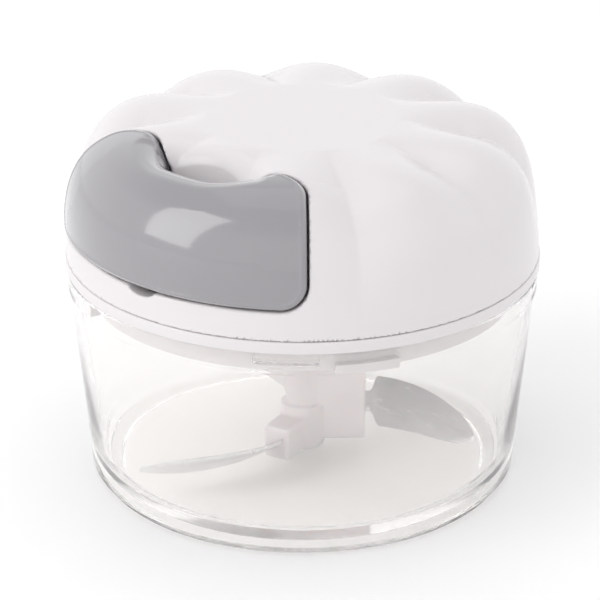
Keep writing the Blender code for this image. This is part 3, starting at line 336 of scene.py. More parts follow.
def bumped(tree, shader, height, distance):
    node = add_node(tree, "ShaderNodeBump", Strength=1.0, Distance=distance)
    tree.links.new(height, node.inputs["Height"])
    tree.links.new(node.outputs["Normal"], shader.inputs["Normal"])


def moulded(name, dark, light, rough, peel, soft=0.0, coat=0.0, through=0.0):
    """Moulded plastic: faint flow in the colour, uneven gloss and a very shallow orange peel."""
    made, tree, shader = new_material(name)
    place = body_coordinates(tree)
    flow = noise(tree, place, scale=38.0, detail=4.0)
    gloss = noise(tree, place, scale=210.0, detail=5.0)
    tree.links.new(mixed_colour(tree, flow, dark, light), shader.inputs["Base Color"])
    tree.links.new(ranged(tree, gloss, *rough), shader.inputs["Roughness"])
    set_sockets(shader, Coat_Weight=coat, Coat_Roughness=0.08, Transmission_Weight=through)
    if soft:
        depth, colours = 2.0 * MM, (1.0, 0.85, 0.8)
        set_sockets(shader, Subsurface_Weight=soft, Subsurface_Scale=depth, Subsurface_Radius=colours)
    bumped(tree, shader, noise(tree, place, scale=620.0, detail=2.0), peel)
    return made


def clear_moulding():
    """Clear plastic: refracting walls that let lamp light through, with faint haze and handling marks."""
    made, tree, shader = new_material("clear_moulding")
    place = body_coordinates(tree)
    set_sockets(shader, Base_Color=(0.99, 0.982, 0.974, 1.0), IOR=1.13, Transmission_Weight=0.91)
    haze = noise(tree, place, scale=55.0, detail=5.0, roughness=0.6)
    tree.links.new(ranged(tree, haze, 0.015, 0.06), shader.inputs["Roughness"])
    bumped(tree, shader, noise(tree, place, scale=70.0, detail=1.0), distance=0.02 * MM)
    through = add_node(tree, "ShaderNodeBsdfTransparent", Color=(0.985, 0.982, 0.98, 1.0))
    path = tree.nodes.new("ShaderNodeLightPath")
    mix = tree.nodes.new("ShaderNodeMixShader")
    tree.links.new(path.outputs["Is Shadow Ray"], mix.inputs["Fac"])
    tree.links.new(shader.outputs["BSDF"], mix.inputs[1])
    tree.links.new(through.outputs["BSDF"], mix.inputs[2])
    tree.links.new(mix.outputs["Shader"], tree.nodes["Material Output"].inputs["Surface"])
    return made


def ground_steel(name, stretch, rough):
    """Stainless steel with fine parallel grinding lines."""
    made, tree, shader = new_material(name)
    lines = noise(tree, body_coordinates(tree, stretch), scale=900.0, detail=4.0, roughness=0.7)
    colour = mixed_colour(tree, lines, dark=(0.72, 0.72, 0.73), light=(0.9, 0.9, 0.91))
    tree.links.new(colour, shader.inputs["Base Color"])
    tree.links.new(ranged(tree, lines, *rough), shader.inputs["Roughness"])
    set_sockets(shader, Metallic=1.0, Anisotropic=0.5)
    bumped(tree, shader, lines, distance=0.01 * MM)
    return made


def soft_silicone():
    """Seals: slightly cloudy, with a fine grain."""
    made, tree, shader = new_material("soft_silicone")
    place = body_coordinates(tree)
    haze = noise(tree, place, scale=120.0)
    colour = mixed_colour(tree, haze, dark=(0.72, 0.72, 0.72), light=(0.85, 0.85, 0.84))
    tree.links.new(colour, shader.inputs["Base Color"])
    set_sockets(shader, Roughness=0.55, Subsurface_Weight=0.3, Subsurface_Scale=1.0 * MM)
    bumped(tree, shader, noise(tree, place, scale=1400.0, detail=2.0), distance=0.02 * MM)
    return made


def braided_fibre():
    """Cord: two families of strands that cross at an angle."""
    made, tree, shader = new_material("braided_fibre")
    place = body_coordinates(tree)
    strands = []
    braid_angle = math.radians(40.0)
    for angle in (braid_angle, -braid_angle):
        mapping = add_node(tree, "ShaderNodeMapping", Rotation=(0.0, 0.0, angle))
        tree.links.new(place, mapping.inputs["Vector"])
        wave = add_node(tree, "ShaderNodeTexWave", Scale=520.0, Distortion=0.4, Detail=1.0)
        tree.links.new(mapping.outputs["Vector"], wave.inputs["Vector"])
        strands.append(wave.outputs["Fac"])
    joined = tree.nodes.new("ShaderNodeMath")
    joined.operation = "MAXIMUM"
    tree.links.new(strands[0], joined.inputs[0])
    tree.links.new(strands[1], joined.inputs[1])
    crossing = joined.outputs["Value"]
    colour = mixed_colour(tree, crossing, dark=(0.5, 0.5, 0.49), light=(0.86, 0.86, 0.84))
    tree.links.new(colour, shader.inputs["Base Color"])
    set_sockets(shader, Roughness=0.85, Sheen_Weight=0.3)
    bumped(tree, shader, crossing, distance=0.12 * MM)
    return made


WHITE = moulded(
    "white_moulding",
    dark=(0.685, 0.655, 0.665),
    light=(0.70, 0.675, 0.685),
    rough=(0.17, 0.2),
    peel=0.0008 * MM,
    soft=0.1,
)
GREY = moulded(
    "grey_moulding",
    dark=(0.255, 0.248, 0.262),
    light=(0.275, 0.268, 0.282),
    rough=(0.10, 0.16),
    peel=0.002 * MM,
    coat=0.9,
)
MILKY = moulded(
    "milky_moulding",
    dark=(0.86, 0.81, 0.82),
    light=(0.90, 0.86, 0.87),
    rough=(0.3, 0.42),
    peel=0.004 * MM,
    soft=0.9,
    through=0.3,
)
INNER = moulded(
    "inner_moulding",
    dark=(0.70, 0.70, 0.69),
    light=(0.77, 0.77, 0.76),
    rough=(0.4, 0.52),
    peel=0.01 * MM,
)
CLEAR = clear_moulding()
BLADE_STEEL = ground_steel("blade_steel", stretch=(0.15, 1.0, 1.0), rough=(0.16, 0.3))
SPRING_STEEL = ground_steel("spring_steel", stretch=(1.0, 1.0, 0.08), rough=(0.2, 0.34))
SCREW_STEEL = ground_steel("screw_steel", stretch=(1.0, 1.0, 1.0), rough=(0.25, 0.4))
SILICONE = soft_silicone()
FIBRE = braided_fibre()


# Mesh tools


def new_piece(name, vertices, faces, coating, normals=None, sharp=None):
    """A smooth-shaded mesh object with one material."""
    mesh = bpy.data.meshes.new(name)
    mesh.from_pydata(vertices, [], faces)
    mesh.materials.append(coating)
    mesh.shade_smooth()
    if sharp is not None:
        mesh.set_sharp_from_angle(angle=math.radians(sharp))
    if normals is not None:
        mesh.normals_split_custom_set_from_vertices(normals)
    made = bpy.data.objects.new(name, mesh)
    bpy.context.scene.collection.objects.link(made)
    return made


def at_bearing(radius, bearing):
    """The point at a radius and a bearing in degrees, counted from -Y towards +X."""
    angle = math.radians(bearing)
    return radius * math.sin(angle), -radius * math.cos(angle)


def rounded(outline, steps=5):
    """Corners of (radius, height, fillet) as points, each corner an arc of its fillet."""
    points = []
    count = len(outline)
    for place, (radius, height, fillet) in enumerate(outline):
        if not fillet:
            points.append((radius, height))
            continue
        corner = Vector((radius, height))
        before = (Vector(outline[place - 1][:2]) - corner).normalized()
        after = (Vector(outline[(place + 1) % count][:2]) - corner).normalized()
        half = before.angle(after) / 2
        middle = corner + (before + after).normalized() * (fillet / math.sin(half))
        start = corner + before * (fillet / math.tan(half)) - middle
        end = corner + after * (fillet / math.tan(half)) - middle
        turn = start.angle_signed(end)
        for step in range(steps + 1):
            angle = -turn * step / steps
            spoke = Vector((
                start.x * math.cos(angle) - start.y * math.sin(angle),
                start.x * math.sin(angle) + start.y * math.cos(angle),
            ))
            points.append(tuple(middle + spoke))
    return points


def lathe(name, outline, coating, steps=ROUND_STEPS, sharp=40.0):
    """Turn an outline about Z. It closes on itself, or on the axis at both ends."""
    points = rounded(outline)
    capped = points[0][0] < ON_AXIS and points[-1][0] < ON_AXIS
    vertices = []
    rings = []
    for radius, height in points:
        if radius < ON_AXIS:
            rings.append([len(vertices)] * steps)
            vertices.append((0.0, 0.0, height))
            continue
        rings.append(list(range(len(vertices), len(vertices) + steps)))
        for step in range(steps):
            angle = math.tau * step / steps
            vertices.append((radius * math.cos(angle), radius * math.sin(angle), height))
    pairs = list(zip(rings, rings[1:]))
    if not capped:
        pairs.append((rings[-1], rings[0]))
    faces = []
    for low, high in pairs:
        for step in range(steps):
            following = (step + 1) % steps
            corners = [low[step], low[following], high[following], high[step]]
            faces.append(list(dict.fromkeys(corners)))
    made = new_piece(name, vertices, faces, coating)
    outward(made, sharp)
    return made


def outward(made, sharp=40.0):
    """Turn a closed mesh's faces outward and shade it smooth up to an angle."""
    mesh = bmesh.new()
    mesh.from_mesh(made.data)
    bmesh.ops.recalc_face_normals(mesh, faces=mesh.faces)
    mesh.to_mesh(made.data)
    mesh.free()
    made.data.shade_smooth()
    made.data.set_sharp_from_angle(angle=math.radians(sharp))


def sleeve(rings, sides):
    """The faces between rings of vertices that follow each other, sides vertices in each."""
    faces = []
    for start in range(0, (rings - 1) * sides, sides):
        for step in range(sides):
            following = (step + 1) % sides
            faces.append([start + step, start + following, start + sides + following, start + sides + step])
    return faces


def end_caps(rings, sides):
    return [list(range(sides)), list(range((rings - 1) * sides, rings * sides))]


def prism(name, outline, bottom, top, coating):
    """A closed outline of (x, y) points, extruded from bottom to top."""
    count = len(outline)
    vertices = [(x, y, z) for z in (bottom, top) for x, y in outline]
    made = new_piece(name, vertices, end_caps(2, count) + sleeve(2, count), coating)
    outward(made)
    return made


def eased(start, rise, share):
    """From start by rise, slow at both ends, as share goes from 0 to 1."""
    return start + rise * share * share * (3 - 2 * share)


def disc_outline(radius, steps, centre=(0.0, 0.0)):
    angles = [math.tau * step / steps for step in range(steps)]
    return [(centre[0] + radius * math.cos(a), centre[1] + radius * math.sin(a)) for a in angles]


def sector_outline(inner, outer, bearing, width, steps=16):
    bearings = [bearing + width * (step / steps - 0.5) for step in range(steps + 1)]
    return [at_bearing(inner, b) for b in bearings] + [at_bearing(outer, b) for b in reversed(bearings)]


def ring_outline(inner, outer, low, high, fillets):
    """A flat ring for lathe, with its four fillets in millimetres."""
    corners = ((inner, low), (outer, low), (outer, high), (inner, high))
    return [(*corner, fillet * MM) for corner, fillet in zip(corners, fillets)]


def box_outline(x, y):
    return [(x[0], y[0]), (x[1], y[0]), (x[1], y[1]), (x[0], y[1])]


def shaped(target, tool, operation, sharp=40.0):
    """Apply one Boolean to target and remove the tool."""
    modifier = target.modifiers.new("shape", "BOOLEAN")
    modifier.operation = operation
    modifier.object = tool
    bpy.context.view_layer.update()
    evaluated = target.evaluated_get(bpy.context.evaluated_depsgraph_get())
    mesh = bpy.data.meshes.new_from_object(evaluated)
    target.modifiers.remove(modifier)
    target.data = mesh
    mesh.shade_smooth()
    mesh.set_sharp_from_angle(angle=math.radians(sharp))
    bpy.data.objects.remove(tool)


def bevelled(made, width, segments=3):
    modifier = made.modifiers.new("edges", "BEVEL")
    modifier.width = width
    modifier.segments = segments
    modifier.limit_method = "ANGLE"
    modifier.angle_limit = math.radians(35)
    modifier.harden_normals = True


def tube(name, points, radius, coating, sides=14):
    """A round tube with closed ends along a list of points."""
    points = [Vector(point) for point in points]
    vertices = []
    side = Vector((0.0, 0.0, 1.0))
    for place, point in enumerate(points):
        ahead = points[min(place + 1, len(points) - 1)] - points[max(place - 1, 0)]
        across = ahead.cross(side).normalized()
        up = across.cross(ahead).normalized()
        for step in range(sides):
            angle = math.tau * step / sides
            vertices.append(point + (across * math.cos(angle) + up * math.sin(angle)) * radius)
    faces = sleeve(len(points), sides) + end_caps(len(points), sides)
    made = new_piece(name, vertices, faces, coating)
    outward(made, sharp=60.0)
    return made


# Solids given as a field: negative inside, positive outside, about a distance near the surface


def both(a, b, fillet=0.0):
    """Where two fields overlap; their common edge is rounded."""
    if not np.any(fillet):
        return np.maximum(a, b)
    corner = np.hypot(np.maximum(a + fillet, 0), np.maximum(b + fillet, 0))
    return np.minimum(np.maximum(a, b), -fillet) + corner


def either(a, b, fillet=0.0):
    """Two fields joined; the inner corner between them is filled."""
    return -both(-a, -b, fillet)


def without(a, b, fillet=0.0):
    return both(a, -b, fillet)


def upright(x, y, radius, centre=(0.0, 0.0)):
    return np.hypot(x - centre[0], y - centre[1]) - radius


def slab(value, low, high):
    return np.maximum(low - value, value - high)


def grown_surface(name, field, low, high, step, coating):
    """Mesh a field's zero level: one vertex for each mixed cell, moved onto the surface."""
    axes = [np.arange(start - step, end + 2 * step, step) for start, end in zip(low, high)]
    grid = np.meshgrid(*axes, indexing="ij")
    values = field(*grid)
    inside = values < 0
    cells = tuple(size - 1 for size in values.shape)
    corners = [(i, j, k) for i in (0, 1) for j in (0, 1) for k in (0, 1)]

    def shifted(array, corner):
        return array[tuple(slice(c, c + size) for c, size in zip(corner, cells))]

    count = sum(shifted(inside, corner).astype(np.int8) for corner in corners)
    mixed = (count > 0) & (count < 8)
    index = np.full(cells, -1, dtype=np.int64)
    index[mixed] = np.arange(mixed.sum())
    base = np.argwhere(mixed)
    origin = np.array([axis[0] for axis in axes])
    total = np.zeros(base.shape)
    weight = np.zeros(len(base))
    for corner in corners:
        for axis in range(3):
            if corner[axis]:
                continue
            start = base + corner
            end = start.copy()
            end[:, axis] += 1
            a = values[tuple(start.T)]
            b = values[tuple(end.T)]
            crossing = (a < 0) != (b < 0)
            share = np.where(crossing, a / np.where(crossing, a - b, 1.0), 0.0)
            point = start.astype(float)
            point[:, axis] += share
            total += point * crossing[:, None]
            weight += crossing
    points = origin + total / weight[:, None] * step
    faces = []
    for axis in range(3):
        others = [other for other in range(3) if other != axis]
        a = inside[tuple(slice(0, -1) if other == axis else slice(1, -1) for other in range(3))]
        b = inside[tuple(slice(1, None) if other == axis else slice(1, -1) for other in range(3))]
        edges = np.argwhere(a != b)
        rising = a[tuple(edges.T)]
        edges[:, others] += 1
        around = []
        for first, second in ((0, 0), (-1, 0), (-1, -1), (0, -1)):
            cell = edges.copy()
            cell[:, others[0]] += first
            cell[:, others[1]] += second
            around.append(index[tuple(cell.T)])
        quads = np.stack(around, axis=1)
        flip = rising if axis != 1 else ~rising
        quads[flip] = quads[flip][:, ::-1]
        faces.append(quads)
    faces = np.concatenate(faces)[:, ::-1]
    points, normals = onto_surface(field, points, step)
    return new_piece(name, points.tolist(), faces.tolist(), coating, normals.tolist())


def onto_surface(field, points, step):
    """Move points along the field's slope onto its zero level, and give the unit normals there."""
    reach = PROBE_SHARE * step
    travel_limit = MOST_TRAVEL * step
    for _ in range(SURFACE_PASSES):
        slope = np.empty(points.shape)
        for axis in range(3):
            offset = np.zeros(3)
            offset[axis] = reach
            slope[:, axis] = (field(*(points + offset).T) - field(*(points - offset).T)) / (2 * reach)
        size = np.maximum(np.sum(slope * slope, axis=1), LEAST_SLOPE_SQUARED)
        travel = np.clip(field(*points.T) / size, -travel_limit, travel_limit)
        points = points - slope * travel[:, None]
    return points, slope / np.maximum(np.linalg.norm(slope, axis=1), 1e-6)[:, None]


# The lid's surface as a field


def crest(radius, height):
    """Distance above the lobes' crest surface."""
    power = (LID_SHOULDER_POWER + LID_CROWN_POWER) / 2
    out = np.maximum(radius - LID_PLATEAU_RADIUS, 0.0) / (LID_RADIUS - LID_PLATEAU_RADIUS)
    up = np.maximum(height - LID_SPRING_HEIGHT, 0.0) / (LID_TOP - LID_SPRING_HEIGHT)
    level = np.maximum(out**LID_SHOULDER_POWER + up**LID_CROWN_POWER, 1e-9)
    root = level ** (1 / power)
    slope_out = LID_SHOULDER_POWER * out ** (LID_SHOULDER_POWER - 1) / (LID_RADIUS - LID_PLATEAU_RADIUS)
    slope_up = LID_CROWN_POWER * up ** (LID_CROWN_POWER - 1) / (LID_TOP - LID_SPRING_HEIGHT)
    slope = np.hypot(slope_out, slope_up) * root / (power * level)
    return (root - 1) / np.maximum(slope, LEAST_SLOPE)


def groove_depth(radius, height, bearing):
    """Depth of the valleys between the lobes."""
    rise = np.clip((height - LID_BOTTOM) / (LID_TOP - LID_BOTTOM), 0.0, 1.0)
    reach = (radius - LID_PLATEAU_RADIUS) / (LID_RADIUS - LID_PLATEAU_RADIUS) / PLATEAU_BLEND
    reach = np.clip(reach, 0.0, 1.0)
    fade = np.sin(math.pi / 2 * rise) ** LOBE_FADE_POWER * reach
    wave = np.cos(bearing * LOBE_COUNT / 2)
    return fade * LOBE_GROOVE_DEPTH * (1 - np.sqrt(wave * wave + LOBE_SOFTNESS**2))


def crest_table():
    """Angle about the ring inside the handle, with the crest's distance from it and length along it."""
    sweeps = np.linspace(0.0, math.pi / 2, 3000)
    out = np.cos(sweeps) ** (2 / LID_SHOULDER_POWER)
    up = np.sin(sweeps) ** (2 / LID_CROWN_POWER)
    radius = LID_PLATEAU_RADIUS + (LID_RADIUS - LID_PLATEAU_RADIUS) * out
    height = LID_SPRING_HEIGHT + (LID_TOP - LID_SPRING_HEIGHT) * up
    angle = np.arctan2(height - HANDLE_BOTTOM, radius - HANDLE_CORE_RADIUS)
    away = np.hypot(height - HANDLE_BOTTOM, radius - HANDLE_CORE_RADIUS)
    length = np.concatenate([[0.0], np.cumsum(np.hypot(np.diff(radius), np.diff(height)))])
    return angle, away, length - np.interp(0.0, angle, length)


CREST_ANGLES, CREST_AWAY, CREST_LENGTHS = crest_table()


def handle_place(x, y, z):
    """Depth below the crest, and distance outside the handle's outline."""
    radius = np.hypot(x, y)
    angle = np.arctan2(z - HANDLE_BOTTOM, radius - HANDLE_CORE_RADIUS)
    away = np.hypot(z - HANDLE_BOTTOM, radius - HANDLE_CORE_RADIUS)
    depth = np.interp(angle, CREST_ANGLES, CREST_AWAY) - away
    length = np.interp(angle, CREST_ANGLES, CREST_LENGTHS)
    bearing = np.abs(np.arctan2(x, -y))
    scale = np.clip(radius / LID_RADIUS, *SCALE_RANGE)
    sweep = HANDLE_LOBE_ANGLE - HANDLE_WAIST_ANGLE
    share = np.clip((bearing - HANDLE_WAIST_ANGLE) / sweep, 0.0, 1.0)
    top = eased(HANDLE_WAIST, HANDLE_LOBE - HANDLE_WAIST, share)
    run = sweep * LID_RADIUS
    slope = (HANDLE_LOBE - HANDLE_WAIST) * 6 * share * (1 - share) / run
    above = (length - top) / np.sqrt(1 + (slope / scale) ** 2)
    beside = (bearing * LID_RADIUS - HANDLE_HALF_LENGTH) * scale
    low = both(-length, beside, HANDLE_LOW_CORNER)
    high = both(above, beside, HANDLE_HIGH_CORNER)
    outline = np.maximum(low, high)
    return depth, outline


def ellipsoid(x, y, z, centre, radii):
    offset = [(value - middle) / radius for value, middle, radius in zip((x, y, z), centre, radii)]
    near = np.sqrt(sum(value * value for value in offset))
    steep = np.sqrt(sum((value / radius) ** 2 for value, radius in zip(offset, radii)))
    return near * (near - 1) / np.maximum(steep, 1.0)


def lid_cover_field(x, y, z):
    radius = np.hypot(x, y)
    outer = crest(radius, z) + groove_depth(radius, z, np.arctan2(x, -y))
    depth, outline = handle_place(x, y, z)
    seat = both(outline - RUNNING_GAP, depth - SEAT_DEPTH, SOFT_EDGE)
    seat_box = both(outline - RUNNING_GAP - SEAT_WALL, depth - SEAT_DEPTH - SEAT_WALL, SEAT_BOX_EDGE)
    scoop = ellipsoid(x, y, z, SCOOP_CENTRE, SCOOP_RADII)
    cover = both(outer, FLANGE_TOP + SEAM - z, LID_RIM_EDGE)
    hollow = without(outer + LID_WALL, seat_box, BROAD_EDGE)
    hollow = without(hollow, scoop - SEAT_WALL - SCOOP_EDGE, BROAD_EDGE)
    cover = without(cover, hollow, SMALL_EDGE)
    cover = either(cover, lid_posts(x, y, z, outer), SOFT_EDGE)
    cover = without(cover, scoop, SCOOP_EDGE)
    cover = without(cover, seat, SEAT_EDGE)
    notch = np.hypot(x, (z - HANDLE_BOTTOM + RUNNING_GAP) / NOTCH_FLATNESS) - NOTCH_RADIUS
    notch = both(notch * NOTCH_FLATNESS, y + LID_RADIUS - SEAT_DEPTH, CRISP_EDGE)
    cover = without(cover, notch, CRISP_EDGE)
    hole = np.hypot(x, z - CORD_GUIDE_HEIGHT) - (CORD_RADIUS + 2 * GAP + EYELET_WALL)
    return without(cover, both(hole, y), FINE_EDGE)


def lid_posts(x, y, z, outer):
    """The arbor of the spool and the four screw bosses, up to the roof of the lid."""
    spool_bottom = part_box("spool_washer")[1].z + 2 * GAP
    arbor = both(upright(x, y, ARBOR_RADIUS), spool_bottom - GAP - z, CRISP_EDGE)
    root = both(upright(x, y, ARBOR_ROOT_RADIUS), spool_bottom + ARBOR_LENGTH - z, BROAD_EDGE)
    arbor = either(arbor, root)
    arbor = without(arbor, upright(x, y, SCREW_RADIUS + GAP))
    posts = both(arbor, outer + LID_WALL / 2)
    for bearing in SCREW_BEARINGS:
        middle = at_bearing(SCREW_CIRCLE, bearing)
        boss = both(upright(x, y, SCREW_BOSS_RADIUS, middle), z - SCREW_BOSS_TOP, SOFT_EDGE)
        boss = both(boss, LID_BOTTOM - z, CRISP_EDGE)
        boss = without(boss, upright(x, y, SCREW_RADIUS + GAP, middle))
        posts = either(posts, boss)
    return posts


def make_lid_cover():
    reach = LID_RADIUS + MM
    low = (-reach, -reach, LID_BOTTOM - MM)
    high = (reach, reach, LID_TOP + MM)
    cover = grown_surface("lid_shell", lid_cover_field, low, high, LID_GRID, WHITE)
    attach(cover, "lid")
    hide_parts("lid_cover")


def handle_field(x, y, z):
    depth, outline = handle_place(x, y, z)
    scoop = ellipsoid(x, y, z, SCOOP_CENTRE, SCOOP_RADII)
    roll = eased(0.0, 1.0, np.clip(1.0 - scoop / HANDLE_ROLL_REACH, 0.0, 1.0))
    crown = HANDLE_CROWN * np.clip(-outline / HANDLE_CROWN_RUN, 0.0, 1.0)
    bead = np.exp(-(((outline + HANDLE_BEAD_INSET) / HANDLE_BEAD_WIDTH) ** 2))
    bead = HANDLE_BEAD * bead * (1 - roll)
    fillet = HANDLE_EDGE + HANDLE_ROLL_EDGE * roll
    face = both(outline, -depth - HANDLE_PROUD - crown - bead, fillet)
    plate = both(face, depth - HANDLE_WALL + HANDLE_PROUD, CRISP_EDGE)
    lip = both(face, np.maximum(-outline - HANDLE_LIP_WIDTH, depth - HANDLE_LIP_DEPTH), HALF_EDGE)
    lip = both(lip, scoop - HANDLE_LIP_REACH, HALF_EDGE)
    return either(plate, lip, SMALL_EDGE)


def handle_back_field(x, y, z):
    depth, outline = handle_place(x, y, z)
    outer = HANDLE_WALL - HANDLE_PROUD + GAP
    layer = slab(depth, outer, outer + HANDLE_BACK_WALL)
    plate = both(outline + HANDLE_BACK_INSET, layer, HANDLE_BACK_EDGE)
    return without(plate, np.hypot(x, z - CORD_GUIDE_HEIGHT) - STOPPER_RADIUS - GAP, FINE_EDGE)


def make_handle():
    low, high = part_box("pull_handle")
    margin = Vector((MM, MM, MM))
    shell = grown_surface("handle_shell", handle_field, low - margin, high + margin, DETAIL_GRID, GREY)
    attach(shell, "handle")
    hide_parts("pull_handle")
    low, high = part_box("handle_back")
    low, high = low - margin, high + margin
    back = grown_surface("handle_backplate", handle_back_field, low, high, DETAIL_GRID, GREY)
    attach(back, "handle")
    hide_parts("handle_back")


# Turned pieces


def make_bowl():
    inner_foot = BOWL_HEEL_RADIUS - BOWL_WALL
    ring_inner = BOWL_FOOT_RADIUS - FOOT_RING_WIDTH
    pivot_top = BOWL_FLOOR + PIVOT_HEIGHT
    outline = [
        (0.0, FOOT_RING_DEPTH, 0.0),
        (ring_inner - FOOT_RING_DEPTH, FOOT_RING_DEPTH, 0.6 * MM),
        (ring_inner, 0.0, 0.5 * MM),
        (BOWL_FOOT_RADIUS, 0.0, 0.7 * MM),
        (BOWL_FOOT_RADIUS, 1.6 * MM, 0.4 * MM),
        (BOWL_HEEL_RADIUS, 1.9 * MM, 0.9 * MM),
        (BOWL_HEEL_RADIUS, BOWL_HEEL_HEIGHT, 0.3 * MM),
        (BOWL_RIM_RADIUS - BOWL_COLLAR_STEP, COLLAR_BOTTOM, 0.2 * MM),
        (BOWL_RIM_RADIUS, COLLAR_BOTTOM + BOWL_COLLAR_STEP, 0.2 * MM),
        (BOWL_RIM_RADIUS, BOWL_HEIGHT, 0.5 * MM),
        (BORE_RADIUS, BOWL_HEIGHT, 0.4 * MM),
        (BORE_RADIUS, COLLAR_BOTTOM, 0.3 * MM),
        (inner_foot, BOWL_FLOOR, BOWL_FLOOR_FILLET),
        (PIVOT_RADIUS, BOWL_FLOOR, 0.8 * MM),
        (PIVOT_RADIUS, pivot_top, 0.5 * MM),
        (0.0, pivot_top, 0.0),
    ]
    bowl = lathe("clear_bowl", outline, CLEAR)
    inner = BORE_RADIUS - LUG_REACH
    for lug in range(LUG_COUNT):
        bearing = LID_LUG_BEARING - LOCK_TURN + 360.0 * lug / LUG_COUNT
        around = sector_outline(inner, BORE_RADIUS + BOWL_WALL / 2, bearing, LUG_ANGLE)
        shaped(bowl, prism("lug", around, BOWL_LUG_BOTTOM, BOWL_LUG_TOP, CLEAR), "UNION")
    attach(bowl, "bowl")
    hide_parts("bowl")


def make_lid_base():
    collar_end = PLATE_BOTTOM - SHAFT_COLLAR_DEPTH
    skirt_inner = SKIRT_RADIUS - SKIRT_WALL
    outline = [
        (SHAFT_HOLE, FLANGE_TOP, 0.2 * MM),
        (SHAFT_HOLE, PLATE_BOTTOM, 0.2 * MM),
        (SEAL_HOLE, PLATE_BOTTOM, 0.2 * MM),
        (SEAL_HOLE, collar_end, 0.3 * MM),
        (SHAFT_COLLAR, collar_end, 0.5 * MM),
        (SHAFT_COLLAR, PLATE_BOTTOM, 1.0 * MM),
        (skirt_inner, PLATE_BOTTOM, 0.8 * MM),
        (skirt_inner, SKIRT_BOTTOM, 0.4 * MM),
        (SKIRT_RADIUS, SKIRT_BOTTOM, 0.4 * MM),
        (SKIRT_RADIUS, FLANGE_BOTTOM, 0.2 * MM),
        (FLANGE_RADIUS, FLANGE_BOTTOM, 0.5 * MM),
        (FLANGE_RADIUS, FLANGE_TOP, 0.25 * MM),
    ]
    base = lathe("lid_flange", outline, WHITE)
    for lug in range(LUG_COUNT):
        bearing = LID_LUG_BEARING + 360.0 * lug / LUG_COUNT
        inner, outer = SKIRT_RADIUS - SKIRT_WALL / 2, BORE_RADIUS - RUNNING_GAP
        around = sector_outline(inner, outer, bearing, LUG_ANGLE)
        shaped(base, prism("lug", around, SKIRT_BOTTOM, BOWL_LUG_BOTTOM - GAP, WHITE), "UNION")
    for bearing in SCREW_BEARINGS:
        around = disc_outline(SCREW_RADIUS + GAP, HOLE_STEPS, at_bearing(SCREW_CIRCLE, bearing))
        shaped(base, prism("hole", around, PLATE_BOTTOM - MM, FLANGE_TOP + MM, WHITE), "DIFFERENCE")
    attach(base, "lid")
    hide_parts("lid_base")


def make_seals():
    low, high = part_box("lid_seal")
    inner = SKIRT_RADIUS + GAP
    outer = BORE_RADIUS - GAP
    outline = [
        (inner, low.z, 0.15 * MM),
        (outer, low.z, 0.4 * MM),
        (outer - 0.25 * MM, (low.z + high.z) / 2, 0.15 * MM),
        (outer, high.z, 0.4 * MM),
        (inner, high.z, 0.15 * MM),
    ]
    ring = lathe("lid_gasket", outline, SILICONE)
    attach(ring, "seal")
    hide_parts("lid_seal")
    low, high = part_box("shaft_seal")
    outline = [
        (SHAFT_HOLE, low.z, 0.3 * MM),
        (high.x, low.z, 0.2 * MM),
        (high.x, high.z, 0.2 * MM),
        (SHAFT_HOLE, high.z, 0.3 * MM),
        (SHAFT_HOLE + 0.3 * MM, (low.z + high.z) / 2, 0.2 * MM),
    ]
    lip = lathe("shaft_gasket", outline, SILICONE, PIECE_STEPS)
    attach(lip, "lid")
    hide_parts("shaft_seal")


def lying(made, at):
    """Lay a turned piece along Y, its heights running towards -Y, and put its start at a point."""
    made.data.transform(Matrix.Translation(at) @ Matrix.Rotation(math.radians(90), 4, "X"))


def make_cord_fittings():
    low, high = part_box("cord_guide")
    bore = CORD_RADIUS + GAP
    barrel = bore + EYELET_WALL
    length = high.y - low.y
    lip = EYELET_WALL
    outline = [
        (bore, 0.0, 0.1 * MM),
        (barrel, 0.0, 0.1 * MM),
        (barrel, length - lip, 0.1 * MM),
        (high.x, length - lip, 0.2 * MM),
        (high.x, length, 0.3 * MM),
        (bore, length, 0.45 * MM),
    ]
    guide = lathe("cord_eyelet", outline, SCREW_STEEL, PIECE_STEPS)
    lying(guide, (0.0, high.y, CORD_GUIDE_HEIGHT))
    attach(guide, "lid")
    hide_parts("cord_guide")
    low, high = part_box("cord_stopper")
    outline = [
        (0.0, 0.0, 0.0),
        (STOPPER_RADIUS, 0.0, 0.5 * MM),
        (STOPPER_RADIUS, STOPPER_LENGTH, 0.3 * MM),
        (0.0, STOPPER_LENGTH, 0.0),
    ]
    stopper = lathe("cord_knot_plug", outline, INNER, PIECE_STEPS)
    lying(stopper, (0.0, high.y, CORD_GUIDE_HEIGHT))
    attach(stopper, "handle")
    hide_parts("cord_stopper")


